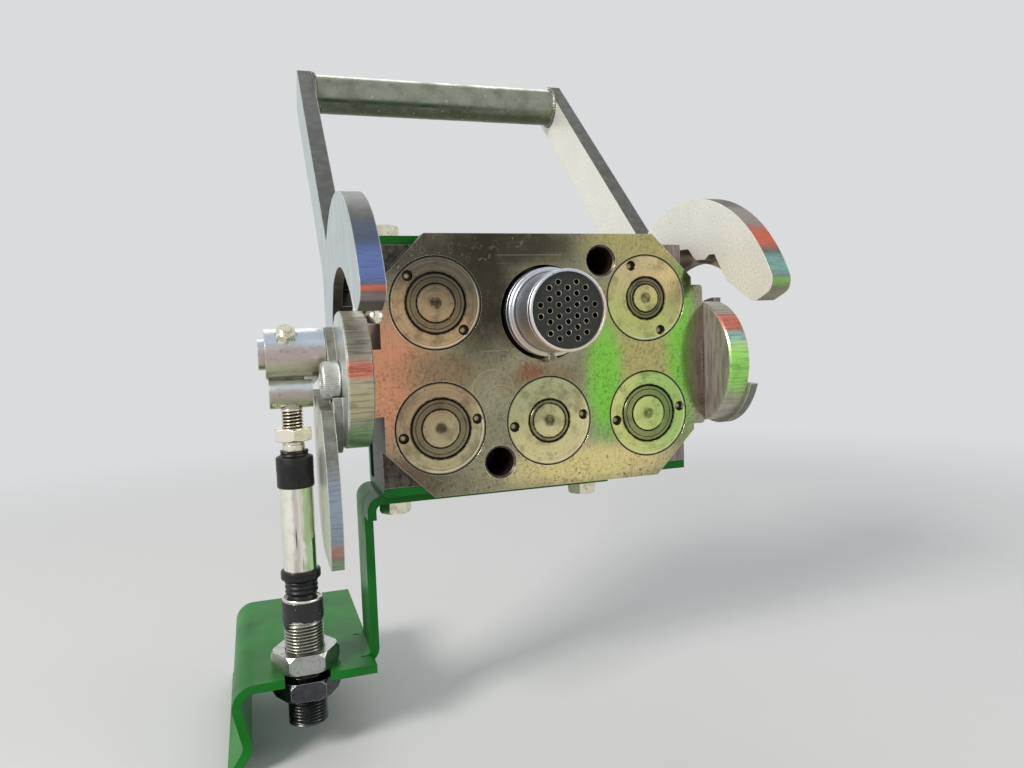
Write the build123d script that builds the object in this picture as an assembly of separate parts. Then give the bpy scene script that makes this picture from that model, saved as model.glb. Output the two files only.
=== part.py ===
from build123d import *
import math
import os

# Fixed half of a single-lever hydraulic multi-coupler, in millimetres.
# +X is to the right seen from the front, +Y into the machine, +Z up.
# The origin is the middle of the mounting bracket's rear face, and the coupling face looks along -Y.

# Mounting bracket: a folded channel
bracket_sheet = 4.0
web_thickness = 5.0
rear_space = 10.0
flange_gap = 0.3
bend_outside = 3.0
web_margin = 2.2
mount_spacing_x = 56.0
mount_spacing_z = 92.0
mount_hole = 9.0

# Coupler block: walls left round the bores, then the face plate in front
side_wall = 4.15
top_wall = 5.75
body_depth = 30.0
face_plate = 10.0
face_chamfer = 21.0
ear_reach = 6.2
ear_root = 4.0
ear_corner = 1.6
right_ear_low = -35.0
right_ear_high = 34.0
left_ear_low = -21.0
left_ear_high = 8.5

# Clamp bolts
clamp_bolt = 8.0
clamp_head = 13.0
clamp_head_height = 6.0
clamp_reach = 8.0
clamp_inset = 7.2
drill_depth = 1.0
bolt_play = 0.3

# Hydraulic cartridges
pitch_x = 52.0
pitch_z = 28.0
cartridge_width = 41.4
cartridge_gap = 0.35
port_wall = 6.0
sleeve_gap = 0.08
sleeve_length = 14.0
sleeve_travel = 9.0
sleeve_rest = 0.5
spanner_hole = 4.8
spanner_depth = 3.0
dimple_width = 5.0
dimple_depth = 0.4

# Columns: name, x in pitches, z in pitches, sleeve width, stem width, angle of the spanner holes
cartridges = [
    ("a", -1, 1, 27.6, 17.3, -45),
    ("b", -1, -1, 27.6, 17.3, 11),
    ("c", 0, -1, 20.6, 16.0, 6),
    ("d", 1, -1, 28.0, 17.2, 8),
    ("e", 1, 1, 20.8, 13.4, -64),
]

# Rear port adapters
adapter_hex = 24.0
adapter_hex_length = 12.0
adapter_stud = 19.8
adapter_gap = 0.1
adapter_reach = 16.0
adapter_bore = 13.0
adapter_floor = 1.0

# Guide bores for the moving half's pins
guide_bore = 13.4
guide_depth = 32.0
guide_lead = 1.0

# Columns: x in pitches, z in pitches, then the bore's offset from that point in x and in z
guides = [
    (0.5, 1, 2.6, 18.1),
    (-0.5, -1, 1.3, -17.5),
]

# Electrical connector
connector_z = 22.5
pocket_clearance = 1.6
pocket_gap = 0.1
shell_base_width = 40.8
shell_base_reach = 7.0
shell_base_depth = 14.0
shell_rim_width = 36.0
shell_wall = 1.6
shell_reach = 27.8
shell_floor = 8.0
insert_recess = 1.2
insert_gap = 0.1
contact_pitch = 4.87
contact_width = 2.6
contact_depth = 6.0
contact_rows = [2, 5, 6, 5, 6, 5, 2]
connector_rear = 12.0
connector_rear_width = 30.0

# Lever: the pivot's place behind the face and below the middle
pivot_back = 7.2
pivot_drop = 4.2
disc_width = 60.0
disc_thickness = 11.0
disc_edge = 0.8
disc_gap = 0.3
journal_width = 13.0
journal_gap = 0.05
screw_head = 17.0
screw_head_height = 8.0
screw_socket = 8.0
screw_socket_depth = 4.0
screw_thread = 10.0
screw_depth = 16.0
head_gap = 0.3
head_clearance = 1.2

# Lever plate, measured from the pivot: u to the rear, w up
lever_thickness = 9.6
lever_inside = 82.8
arm_width = 27.5
arm_offset = -2.3
arm_angle = 43.0
bar_distance = 259.5
bar_offset = 1.5
bar_width = 24.0
hook_centre = (6.0, 4.7)
hook_radius = 76.7
hook_middle = 100.0
tip_angle = 158.0
mouth = (-50.0, 27.6)
slot_start = (-17.0, 45.0)
slot_crown = (5.0, 49.3)
slot_turn = (30.0, 43.0)
slot_back = 42.0
slot_back_top = 27.0
limb_back = 80.0
limb_foot = -10.0
valley_round = 3.0
relief_depth = 5.0

# Columns: u and w of the inner layer's notches along the slot, from the mouth to the rear
relief = [
    (-29.5, 38.5), (-24.0, 45.6), (-19.5, 51.9), (-14.7, 52.2), (-11.1, 50.1), (-3.2, 50.6),
    (-1.0, 52.0), (4.1, 56.8), (19.1, 57.4), (18.9, 61.1), (34.0, 56.0), (47.0, 42.0),
]

# Hub plates and tail, measured from the pivot in the same way
hub_thickness = 4.0
hub_end = (8.0, -16.0)
hub_end_radius = 17.0
hub_root = (60.0, 6.0)
hub_root_radius = 15.0
hub_guard = 32.0
guard_top = -10.5
crank = (22.5, 12.1)
crank_land = 11.4
tail_thickness = 5.5
tail_root = (-8.0, -12.5)
tail_bulge = (-23.0, -42.0)
tail_toe = (-21.0, -78.0)
tail_back = 34.0
tail_top = -5.5
tail_round = 30.0

# Crank pin, collar and cross barrel of the cable's rod end
crank_clearance = 4.3
pin_journal = 8.0
pin_width = 14.0
pin_stub = 3.0
collar_width = 22.8
collar_length = 26.0
collar_gap = 0.3
barrel_width = 14.3
barrel_length = 19.0
barrel_sink = 0.8
gusset_reach = 3.4
gusset_width = 8.0
set_screw = 5.0
set_nut = 8.0
set_nut_height = 4.0
set_nut_room = 2.4
set_screw_length = 9.5
set_seat = 10.6
set_inset = 9.2
rod_width = 10.0
rod_depth = 8.0
rod_nut = 16.0
rod_nut_height = 6.0
rod_nut_drop = 16.0
rod_foot_gap = 4.0

# Push-pull cable end, from the cross barrel down
cable_inside = 114.6
seal_top = 26.4
seal_width = 16.8
seal_length = 17.0
seal_lip = 12.0
seal_lip_height = 2.7
tube_width = 15.2
tube_length = 38.5
boot_ring = 18.0
boot_ring_height = 4.2
boot_neck = 15.0
boot_length = 11.6
stalk_width = 9.0
swivel_drop = 3.1
ball_width = 13.6
ball_gap = 0.3
hub_rim = 0.8
hub_band_width = 18.4
hub_band_height = 9.5
hub_thread = 18.0
hub_nut = 27.0
hub_nut_height = 8.5
hub_shelf_drop = 31.4
hub_tail = 14.0
bore_gap = 0.1

# Cable bracket: strap under the channel, side wall, shelf, and a bent leg on the shelf's left
fold_radius = 5.0
leg_radius = 8.0
strap_right = 36.0
wall_middle = 82.5
wall_front = 28.0
shelf_front = 14.8
shelf_rear = 75.0
shelf_tab = 31.0
shelf_left = 33.0
slot_margin = 1.1
leg_drop = 27.0
leg_inset = 6.0
lip_drop = 12.0
lip_outset = 8.0

os.makedirs("parts", exist_ok=True)


def write(name, shape):
    """Writes one sub-part as a STEP file named after its node."""
    shape.label = name
    export_step(shape, f"parts/{name}.step")


def mirrored(shape):
    """The same piece on the other side of the middle plane."""
    return mirror(shape, about=Plane.YZ)


def barrel(x, y, z, width, length, axis):
    """A round bar that starts at a point and runs along an axis."""
    plane = Plane(origin=(x, y, z), z_dir=axis)
    return extrude(plane * Circle(width / 2), amount=length)


def hexagon(x, y, z, across, length, axis):
    """A hexagon bar, given across its flats, that starts at a point."""
    plane = Plane(origin=(x, y, z), z_dir=axis)
    return extrude(plane * RegularPolygon(across / 2, 6, major_radius=False), amount=length)


def nut_blank(x, y, z, across, length, axis):
    """A hexagon as a nut or a bolt head has it: its corners are turned away at both ends."""
    corners = across / math.cos(math.radians(30))
    turned = barrel(x, y, z, corners, length, axis)
    turned = chamfer(turned.edges().filter_by(GeomType.CIRCLE), (corners - across) / 2, angle=30)
    return hexagon(x, y, z, across, length, axis) & turned


ALONG_X = (1, 0, 0)
ALONG_Y = (0, 1, 0)
UP = (0, 0, 1)
DOWN = (0, 0, -1)
LEFT = (-1, 0, 0)
OVER = 1.0

# Places worked out from the driving sizes; OVER is how far a cut runs past its face
cartridge_bore = cartridge_width + 2 * cartridge_gap
half_width = pitch_x + cartridge_bore / 2 + side_wall
half_height = pitch_z + cartridge_bore / 2 + top_wall
total_half_height = half_height + bracket_sheet
body_rear = -web_thickness - rear_space
plate_rear = body_rear - body_depth
face = plate_rear - face_plate
clamp_y = (plate_rear + body_rear) / 2
ear_half = half_width + ear_reach
pivot_y = face + pivot_back
pivot_z = -pivot_drop
disc_start = ear_half + disc_gap
hub_inside = disc_start + disc_thickness
hub_outside = hub_inside + hub_thickness
lever_outside = lever_inside + lever_thickness
adapter_bore_in_block = adapter_stud + 2 * adapter_gap
connector_pocket = shell_base_width + 2 * pocket_clearance

# Columns: x of the clamp bolt, side of the block, number of sheets under its head
clamp_places = [
    (clamp_inset - half_width, 1, 1),
    (clamp_inset - half_width, -1, 2),
    (pitch_x / 2, -1, 2),
]

# Coupler block: the chamfered face plate with an ear on each side, and the body behind it
# It is one machined piece, bored for the cartridges, the connector and the guide pins.
plate = Pos(0, (face + plate_rear) / 2, 0) * Box(2 * half_width, face_plate, 2 * total_half_height)
plate = chamfer(plate.edges().filter_by(Axis.Y), face_chamfer)


def ear(side, low, high):
    """One ear of the face plate, a flat lug with small round corners."""
    middle = half_width + (ear_reach - ear_root) / 2
    lug = Pos(side * middle, (face + plate_rear) / 2, (low + high) / 2)
    lug = lug * Box(ear_reach + ear_root, face_plate, high - low)
    outer = lug.edges().filter_by(Axis.Y).sort_by(Axis.X)
    ends = outer[-2:] if side > 0 else outer[:2]
    return fillet(ends, ear_corner)


body = Pos(0, (plate_rear + body_rear) / 2, 0) * Box(2 * half_width, body_depth, 2 * half_height)
block = plate + body + ear(1, right_ear_low, right_ear_high) + ear(-1, left_ear_low, left_ear_high)
cartridge_length = face_plate + body_depth - port_wall
for name, column, row, sleeve, stem, angle in cartridges:
    x = column * pitch_x
    z = row * pitch_z
    block -= barrel(x, face - OVER, z, cartridge_bore, cartridge_length + OVER, ALONG_Y)
    block -= barrel(x, face, z, adapter_bore_in_block, body_rear - face + OVER, ALONG_Y)
block -= barrel(0, face - OVER, connector_z, connector_pocket, body_rear - face + 2 * OVER, ALONG_Y)
for column, row, offset_x, offset_z in guides:
    x = column * pitch_x + offset_x
    z = row * pitch_z + offset_z
    block -= barrel(x, face - OVER, z, guide_bore, guide_depth + OVER, ALONG_Y)
    lead = Plane(origin=(x, face, z), z_dir=ALONG_Y)
    block -= extrude(lead * Circle(guide_bore / 2 + guide_lead), amount=guide_lead, taper=45)
screw_hole = screw_thread + 2 * journal_gap
for side in (-1, 1):
    start = side * (half_width - screw_depth)
    block -= barrel(start, pivot_y, pivot_z, screw_hole, screw_depth + ear_reach + OVER, (side, 0, 0))
for x, side, sheets in clamp_places:
    foot = side * (half_height - clamp_reach - drill_depth)
    depth = clamp_reach + drill_depth + OVER
    block -= barrel(x, clamp_y, foot, clamp_bolt + 2 * bolt_play, depth, (0, 0, side))
write("coupler_block", block)

# Mounting bracket: a folded channel that holds the body between its two flanges
bracket = Pos(0, -web_thickness / 2, 0) * Box(2 * half_width, web_thickness, 2 * total_half_height)
flange_depth = -plate_rear - flange_gap
for side, right_end in ((-1, half_width), (1, half_width - face_chamfer)):
    middle = (right_end - half_width) / 2
    flange_z = side * (half_height + bracket_sheet / 2)
    flange = Box(half_width + right_end, flange_depth, bracket_sheet)
    bracket += Pos(middle, -flange_depth / 2, flange_z) * flange
bends = bracket.edges().filter_by(Axis.X).group_by(Axis.Y)[-1]
bracket = fillet(bends, bend_outside)
web_hole = adapter_hex / math.cos(math.radians(30)) + 2 * web_margin
web_cut = web_thickness + 2 * OVER
for name, column, row, sleeve, stem, angle in cartridges:
    bracket -= barrel(column * pitch_x, -web_thickness - OVER, row * pitch_z, web_hole, web_cut, ALONG_Y)
rear_hole = connector_rear_width + 2 * web_margin
bracket -= barrel(0, -web_thickness - OVER, connector_z, rear_hole, web_cut, ALONG_Y)
for x in (-mount_spacing_x / 2, mount_spacing_x / 2):
    for z in (-mount_spacing_z / 2, mount_spacing_z / 2):
        bracket -= barrel(x, -web_thickness - OVER, z, mount_hole, web_cut, ALONG_Y)
for x, side, sheets in clamp_places:
    start = side * (half_height - OVER)
    length = bracket_sheet + 2 * OVER
    bracket -= barrel(x, clamp_y, start, clamp_bolt + 2 * bolt_play, length, (0, 0, side))
write("mounting_bracket", bracket)

# Clamp bolts through the flanges, the lower two through the cable bracket's strap as well
bolts = []
for x, side, sheets in clamp_places:
    grip = sheets * bracket_sheet
    seat_z = side * (half_height + grip)
    head = nut_blank(x, clamp_y, seat_z, clamp_head, clamp_head_height, (0, 0, side))
    foot = side * (half_height - clamp_reach)
    bolts.append(head + barrel(x, clamp_y, foot, clamp_bolt, clamp_reach + grip, (0, 0, side)))
write("clamp_bolts", Compound(bolts))

# Hydraulic cartridges: a flanged ring screwed into the block, a spring sleeve and a fixed stem
widest_sleeve = max(sleeve for name, column, row, sleeve, stem, angle in cartridges)
spanner_radius = (cartridge_width + widest_sleeve) / 4
cavity = sleeve_length + sleeve_travel + sleeve_rest
for name, column, row, sleeve, stem, angle in cartridges:
    x = column * pitch_x
    z = row * pitch_z
    ring = barrel(x, face, z, cartridge_width, cartridge_length, ALONG_Y)
    ring -= barrel(x, face, z, sleeve + 2 * sleeve_gap, cavity, ALONG_Y)
    for turn in (angle, angle + 180):
        hole_x = x + spanner_radius * math.cos(math.radians(turn))
        hole_z = z + spanner_radius * math.sin(math.radians(turn))
        ring -= barrel(hole_x, face - OVER, hole_z, spanner_hole, spanner_depth + OVER, ALONG_Y)
    ring += barrel(x, face, z, stem - 2 * sleeve_gap, cavity + OVER, ALONG_Y)
    ring -= barrel(x, face - OVER, z, dimple_width, dimple_depth + OVER, ALONG_Y)
    write(f"cartridge_{name}", ring)
    slider = barrel(x, face, z, sleeve, sleeve_length, ALONG_Y)
    slider -= barrel(x, face - OVER, z, stem, sleeve_length + 2 * OVER, ALONG_Y)
    write(f"sleeve_{name}", slider)

# Port adapters behind the block, one for each cartridge
adapters = []
adapter_end = body_rear + adapter_hex_length + adapter_reach
for name, column, row, sleeve, stem, angle in cartridges:
    x = column * pitch_x
    z = row * pitch_z
    adapter = hexagon(x, body_rear, z, adapter_hex, adapter_hex_length, ALONG_Y)
    stud_start = body_rear - port_wall
    adapter += barrel(x, stud_start, z, adapter_stud, adapter_end - stud_start, ALONG_Y)
    bore_start = body_rear + adapter_floor
    adapter -= barrel(x, bore_start, z, adapter_bore, adapter_end - bore_start + OVER, ALONG_Y)
    adapters.append(adapter)
write("port_adapters", Compound(adapters))

# Electrical connector: a stepped metal shell with a moulded insert of sockets
shell_front = face - shell_reach
base_front = face - shell_base_reach
base_rear = face + shell_base_depth
insert_width = shell_rim_width - 2 * shell_wall
insert_rear = face + shell_floor
shell = barrel(0, shell_front, connector_z, shell_rim_width, shell_reach, ALONG_Y)
shell += barrel(0, base_front, connector_z, shell_base_width, base_rear - base_front, ALONG_Y)
flange_width = connector_pocket - 2 * pocket_gap
shell += barrel(0, base_rear, connector_z, flange_width, body_rear - base_rear, ALONG_Y)
shell += barrel(0, body_rear, connector_z, connector_rear_width, connector_rear, ALONG_Y)
shell -= barrel(0, shell_front - OVER, connector_z, insert_width, insert_rear - shell_front + OVER, ALONG_Y)
write("connector_shell", shell)

insert_front = shell_front + insert_recess
insert_length = insert_rear - insert_front
insert = barrel(0, insert_front, connector_z, insert_width - 2 * insert_gap, insert_length, ALONG_Y)
column_pitch = contact_pitch * math.cos(math.radians(30))
for index, count in enumerate(contact_rows):
    x = (index - (len(contact_rows) - 1) / 2) * column_pitch
    for step in range(count):
        z = connector_z + (step - (count - 1) / 2) * contact_pitch
        insert -= barrel(x, shell_front, z, contact_width, insert_recess + contact_depth, ALONG_Y)
write("connector_insert", insert)

# Hub discs: thick round bosses that turn against the ears and carry the hub plates
disc = barrel(disc_start, pivot_y, pivot_z, disc_width, disc_thickness, ALONG_X)
disc = chamfer(disc.edges().filter_by(GeomType.CIRCLE), disc_edge)
disc_hole = journal_width + 2 * journal_gap
disc -= barrel(disc_start - OVER, pivot_y, pivot_z, disc_hole, disc_thickness + 2 * OVER, ALONG_X)
write("hub_disc_right", disc)
write("hub_disc_left", mirrored(disc))

# Pivot screws: a shoulder for the disc to turn on, under a socket head
screw_start = half_width - screw_depth + drill_depth
head_start = hub_inside + head_gap
screw = barrel(screw_start, pivot_y, pivot_z, screw_thread, ear_half - screw_start, ALONG_X)
screw += barrel(ear_half, pivot_y, pivot_z, journal_width, head_start - ear_half, ALONG_X)
head = barrel(head_start, pivot_y, pivot_z, screw_head, screw_head_height, ALONG_X)
socket_start = head_start + screw_head_height - screw_socket_depth
head -= hexagon(socket_start, pivot_y, pivot_z, screw_socket, screw_socket_depth + OVER, ALONG_X)
screw += head
write("pivot_screw_right", screw)
write("pivot_screw_left", mirrored(screw))

# Lever plates: arm, cam hook and rear limb cut from one thick plate
lean = math.radians(arm_angle)
along = Vector(math.cos(lean), math.sin(lean))
across = Vector(-math.sin(lean), math.cos(lean))
arm_front = arm_offset + arm_width / 2
arm_rear = arm_offset - arm_width / 2


def on_arm(distance, offset):
    """A point of the arm, by its distance from the pivot and its offset from the radial line."""
    point = along * distance + across * offset
    return (point.X, point.Y)


def arm_meets_hook():
    """Where the arm's front edge runs into the hook's round back."""
    centre = Vector(*hook_centre)
    distance = centre.dot(along)
    drop = arm_front - centre.dot(across)
    return on_arm(distance + math.sqrt(hook_radius**2 - drop**2), arm_front)


def on_hook(angle):
    """A point of the hook's round back."""
    turn = math.radians(angle)
    return (hook_centre[0] + hook_radius * math.cos(turn), hook_centre[1] + hook_radius * math.sin(turn))


arm_end = bar_distance + bar_width / 2
valley = arm_meets_hook()
tip = on_hook(tip_angle)
rear_joint = (limb_back, limb_back * math.tan(lean) + arm_rear / math.cos(lean))
outline = [
    Line(on_arm(arm_end, arm_front), valley),
    ThreePointArc(valley, on_hook(hook_middle), tip),
    Line(tip, mouth),
    Line(mouth, slot_start),
    ThreePointArc(slot_start, slot_crown, slot_turn),
    Line(slot_turn, (slot_back, slot_back_top)),
    Line((slot_back, slot_back_top), (slot_back, limb_foot)),
    Line((slot_back, limb_foot), (limb_back, limb_foot)),
    Line((limb_back, limb_foot), rear_joint),
    Line(rear_joint, on_arm(arm_end, arm_rear)),
    Line(on_arm(arm_end, arm_rear), on_arm(arm_end, arm_front)),
]
lever_plane = Plane(origin=(lever_inside, pivot_y, pivot_z), x_dir=ALONG_Y, z_dir=ALONG_X)
lever_face = make_face(outline)
plate = extrude(lever_plane * lever_face, amount=lever_thickness)


def corner(shape, point, radius):
    """Rounds the plate's edge that stands on a given point of its outline."""
    place = lever_plane.from_local_coords(Vector(point[0], point[1], lever_thickness / 2))
    edge = shape.edges().filter_by(Axis.X).sort_by_distance(place)[0]
    return fillet(edge, radius)


# Columns: u and w of the corner, radius
plate_corners = [
    (*valley, valley_round),
    (*tip, 6.0),
    (*mouth, 6.0),
    (*slot_turn, 14.0),
    (slot_back, slot_back_top, 20.0),
    (slot_back, limb_foot, 4.0),
    (limb_back, limb_foot, 10.0),
    (*rear_joint, 20.0),
]
for u, w, radius in plate_corners:
    plate = corner(plate, (u, w), radius)
relief_face = make_face(Polyline(mouth, *relief, (0, 0), close=True))
plate -= extrude(lever_plane * relief_face, amount=relief_depth)
write("lever_plate_right", plate)
write("lever_plate_left", mirrored(plate))

# Handle bar between the two arms
bar_u, bar_w = on_arm(bar_distance, bar_offset)
bar = barrel(-lever_inside, pivot_y + bar_u, pivot_z + bar_w, bar_width, 2 * lever_inside, ALONG_X)
write("handle_bar", bar)

# Hub plates: they join the lever plates' rear limbs to the discs, round the pivot screws' heads
# The right one ends in a round guard below the screw's head, the left one carries the crank pin.
hub_plane = Plane(origin=(hub_inside, pivot_y, pivot_z), x_dir=ALONG_Y, z_dir=ALONG_X)
root_land = Pos(*hub_root) * Circle(hub_root_radius)
pad_plane = Plane(origin=(lever_outside, pivot_y, pivot_z), x_dir=ALONG_Y, z_dir=ALONG_X)
pad = extrude(pad_plane * root_land, amount=hub_inside - lever_outside)
head_room = screw_head + 2 * head_clearance
scallop = barrel(hub_inside - OVER, pivot_y, pivot_z, head_room, hub_thickness + 2 * OVER, ALONG_X)
guard = make_hull((Circle(hub_guard) + root_land).edges())
guard_height = hub_guard - guard_top
guard -= Pos(-hub_guard / 2, guard_top + guard_height / 2) * Rectangle(hub_guard, guard_height)
write("hub_plate_right", extrude(hub_plane * guard, amount=hub_thickness) - scallop + pad)
lands = Pos(*hub_end) * Circle(hub_end_radius) + Pos(*crank) * Circle(crank_land) + root_land
hub = extrude(hub_plane * make_hull(lands.edges()), amount=hub_thickness) - scallop + pad
crank_y = pivot_y + crank[0]
crank_z = pivot_z + crank[1]
crank_hole = pin_journal + 2 * crank_clearance
hub -= barrel(hub_inside - OVER, crank_y, crank_z, crank_hole, hub_thickness + 2 * OVER, ALONG_X)
write("hub_plate_left", mirrored(hub))

# Tail: a thick cam plate on the left hub plate that hangs down beside the block
tail_plane = Plane(origin=(hub_outside, pivot_y, pivot_z), x_dir=ALONG_Y, z_dir=ALONG_X)
tail_outline = [
    ThreePointArc(tail_root, tail_bulge, tail_toe),
    Line(tail_toe, (tail_back - tail_round, tail_toe[1])),
    RadiusArc((tail_back - tail_round, tail_toe[1]), (tail_back, tail_toe[1] + tail_round), -tail_round),
    Line((tail_back, tail_toe[1] + tail_round), (tail_back, tail_top)),
    Line((tail_back, tail_top), tail_root),
]
tail = extrude(tail_plane * make_face(tail_outline), amount=tail_thickness)
write("tail_plate", mirrored(tail))

# Rod end of the cable: crank pin, collar, cross barrel, threaded rod and jam nut
collar_start = -(hub_outside + collar_gap)
pin_start = -(hub_inside + head_gap)
pin = barrel(pin_start, crank_y, crank_z, pin_journal, pin_start - collar_start, LEFT)
pin += barrel(collar_start, crank_y, crank_z, pin_width, collar_length + pin_stub, LEFT)
write("crank_pin", pin)
cable_x = -cable_inside
barrel_z = crank_z - (collar_width + barrel_width) / 2 + barrel_sink
barrel_foot = barrel_z - barrel_width / 2
rod_top = barrel_foot + rod_depth
collar = barrel(collar_start, crank_y, crank_z, collar_width, collar_length, LEFT)
collar += barrel(cable_x - barrel_length / 2, crank_y, barrel_z, barrel_width, barrel_length, ALONG_X)
gusset_x = cable_x + barrel_length / 2
gusset_z = crank_z - collar_width / 2
gusset_plane = Plane(origin=(0, crank_y + gusset_width / 2, 0), x_dir=ALONG_X, z_dir=(0, -1, 0))
gusset_corners = [
    (gusset_x - gusset_reach, gusset_z + gusset_reach),
    (gusset_x + gusset_reach, gusset_z + gusset_reach),
    (gusset_x + gusset_reach, gusset_z),
    (gusset_x, gusset_z - gusset_reach),
    (gusset_x - gusset_reach, gusset_z - gusset_reach),
]
collar += extrude(gusset_plane * make_face(Polyline(gusset_corners, close=True)), amount=gusset_width)
pin_hole = pin_width + 2 * journal_gap
collar -= barrel(collar_start + OVER, crank_y, crank_z, pin_hole, collar_length + 2 * OVER, LEFT)
collar -= barrel(cable_x, crank_y, rod_top, rod_width + 2 * journal_gap, rod_depth + OVER, DOWN)
screw_way = Vector(0, -1, 1).normalized()
pin_axis = Vector(collar_start - collar_length + set_inset, crank_y, crank_z)
seat = pin_axis + screw_way * set_seat
collar -= barrel(seat.X, seat.Y, seat.Z, set_nut + set_nut_room, set_nut, screw_way)
inner = pin_axis + screw_way * (pin_width / 2 + journal_gap)
collar -= barrel(inner.X, inner.Y, inner.Z, set_screw + 2 * journal_gap, set_nut, screw_way)
write("rod_end_collar", collar)
nut = nut_blank(seat.X, seat.Y, seat.Z, set_nut, set_nut_height, screw_way)
write("set_screw", nut + barrel(inner.X, inner.Y, inner.Z, set_screw, set_screw_length, screw_way))

# Heights of the cable end, each from the one above
seal_z = barrel_z - seal_top
tube_z = seal_z - seal_length
boot_z = tube_z - tube_length
neck_z = boot_z - boot_ring_height
neck_foot = boot_z - boot_length
swivel_z = neck_foot - swivel_drop
band_top = swivel_z + hub_rim
band_foot = band_top - hub_band_height
shelf_z = band_top - hub_shelf_drop
shelf_foot = shelf_z - bracket_sheet
hub_foot = shelf_foot - hub_nut_height - hub_tail
rod_foot = boot_z + rod_foot_gap
rod = barrel(cable_x, crank_y, rod_top, rod_width, rod_top - rod_foot, DOWN)
rod += nut_blank(cable_x, crank_y, barrel_z - rod_nut_drop, rod_nut, rod_nut_height, DOWN)
write("cable_rod", rod)

# Swivel tube of the cable: black seal, polished tube and rubber boot with its ball
rod_bore = rod_width + 2 * bore_gap
lip_foot = seal_z - seal_lip_height
seal = barrel(cable_x, crank_y, seal_z, seal_lip, seal_lip_height, DOWN)
seal += barrel(cable_x, crank_y, lip_foot, seal_width, lip_foot - tube_z, DOWN)
seal -= barrel(cable_x, crank_y, seal_z + OVER, rod_bore, seal_length + 2 * OVER, DOWN)
write("rod_seal", seal)
tube = barrel(cable_x, crank_y, tube_z, tube_width, tube_length, DOWN)
tube -= barrel(cable_x, crank_y, tube_z + OVER, rod_bore, tube_length + 2 * OVER, DOWN)
write("swivel_tube", tube)
boot = barrel(cable_x, crank_y, boot_z, boot_ring, boot_ring_height, DOWN)
boot += barrel(cable_x, crank_y, neck_z, boot_neck, neck_z - neck_foot, DOWN)
boot += barrel(cable_x, crank_y, neck_foot, stalk_width, neck_foot - swivel_z, DOWN)
boot += Pos(cable_x, crank_y, swivel_z) * Sphere(ball_width / 2)
write("rubber_boot", boot)

# Cable hub: a threaded sleeve held in the bracket's shelf by a nut above and a nut below
hub_body = barrel(cable_x, crank_y, band_top, hub_band_width, hub_band_height, DOWN)
hub_body += barrel(cable_x, crank_y, band_foot, hub_thread, band_foot - hub_foot, DOWN)
hub_body -= Pos(cable_x, crank_y, swivel_z) * Sphere(ball_width / 2 + ball_gap)
write("cable_hub", hub_body)
nut_bore = hub_thread + 2 * bore_gap
for name, z, way in (("hub_nut", shelf_z, 1), ("lower_nut", shelf_foot, -1)):
    nut = nut_blank(cable_x, crank_y, z, hub_nut, hub_nut_height, (0, 0, way))
    nut -= barrel(cable_x, crank_y, z - way * OVER, nut_bore, hub_nut_height + 2 * OVER, (0, 0, way))
    write(name, nut)

# Cable bracket: one folded sheet, drawn along the middle of its thickness
# The shelf has an open slot for the hub, and its left side folds down into a leg with a lip.
strap_middle = -total_half_height - bracket_sheet / 2
shelf_middle = shelf_z - bracket_sheet / 2
front_y = crank_y - shelf_front
tab_right = cable_x + shelf_tab
shelf_corner = (cable_x - shelf_left, shelf_middle)
leg_foot = (shelf_corner[0] + leg_inset, shelf_middle - leg_drop)
lip_end = (leg_foot[0] - lip_outset, leg_foot[1] - lip_drop)
front_plane = Plane(origin=(0, front_y, 0), x_dir=ALONG_X, z_dir=(0, -1, 0))


def folded(points, radius, depth):
    """A sheet folded along a line of points, from the shelf's front edge to the rear."""
    line = FilletPolyline(*points, radius=radius)
    return extrude(front_plane * trace(line, bracket_sheet), amount=-depth)


shelf = folded([(tab_right, shelf_middle), shelf_corner, leg_foot, lip_end], leg_radius, shelf_rear - front_y)
fold_start = -wall_middle - fold_radius - bracket_sheet / 2
relief_width = tab_right - fold_start
shelf -= Pos((tab_right + fold_start) / 2, -wall_front / 2, shelf_middle) * Box(
    relief_width, wall_front + 2 * OVER, 2 * bracket_sheet
)
wall_line = [
    (strap_right, strap_middle),
    (-wall_middle, strap_middle),
    (-wall_middle, shelf_middle),
    (fold_start - OVER, shelf_middle),
]
wall = folded(wall_line, fold_radius, -front_y)
fold_reach = fold_radius + bracket_sheet
cut_top = strap_middle - fold_reach
cut_depth = -wall_front - front_y + OVER
wall -= Pos(-wall_middle, -wall_front - cut_depth / 2, (cut_top + shelf_foot) / 2) * Box(
    2 * fold_reach, cut_depth, cut_top - shelf_foot
)
bent = shelf + wall
slot_width = hub_thread + 2 * slot_margin
bent -= barrel(cable_x, crank_y, shelf_foot - OVER, slot_width, bracket_sheet + 2 * OVER, UP)
bent -= Pos(cable_x, crank_y - shelf_front / 2 - OVER, shelf_middle) * Box(
    slot_width, shelf_front + 2 * OVER, bracket_sheet + 2 * OVER
)
for x, side, sheets in clamp_places:
    if sheets > 1:
        bolt_hole = clamp_bolt + 2 * bolt_play
        bent -= barrel(x, clamp_y, -total_half_height + OVER, bolt_hole, bracket_sheet + 2 * OVER, DOWN)
write("cable_bracket", bent)
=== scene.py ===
import math

import bmesh
import bpy
from mathutils import Matrix, Vector


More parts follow.
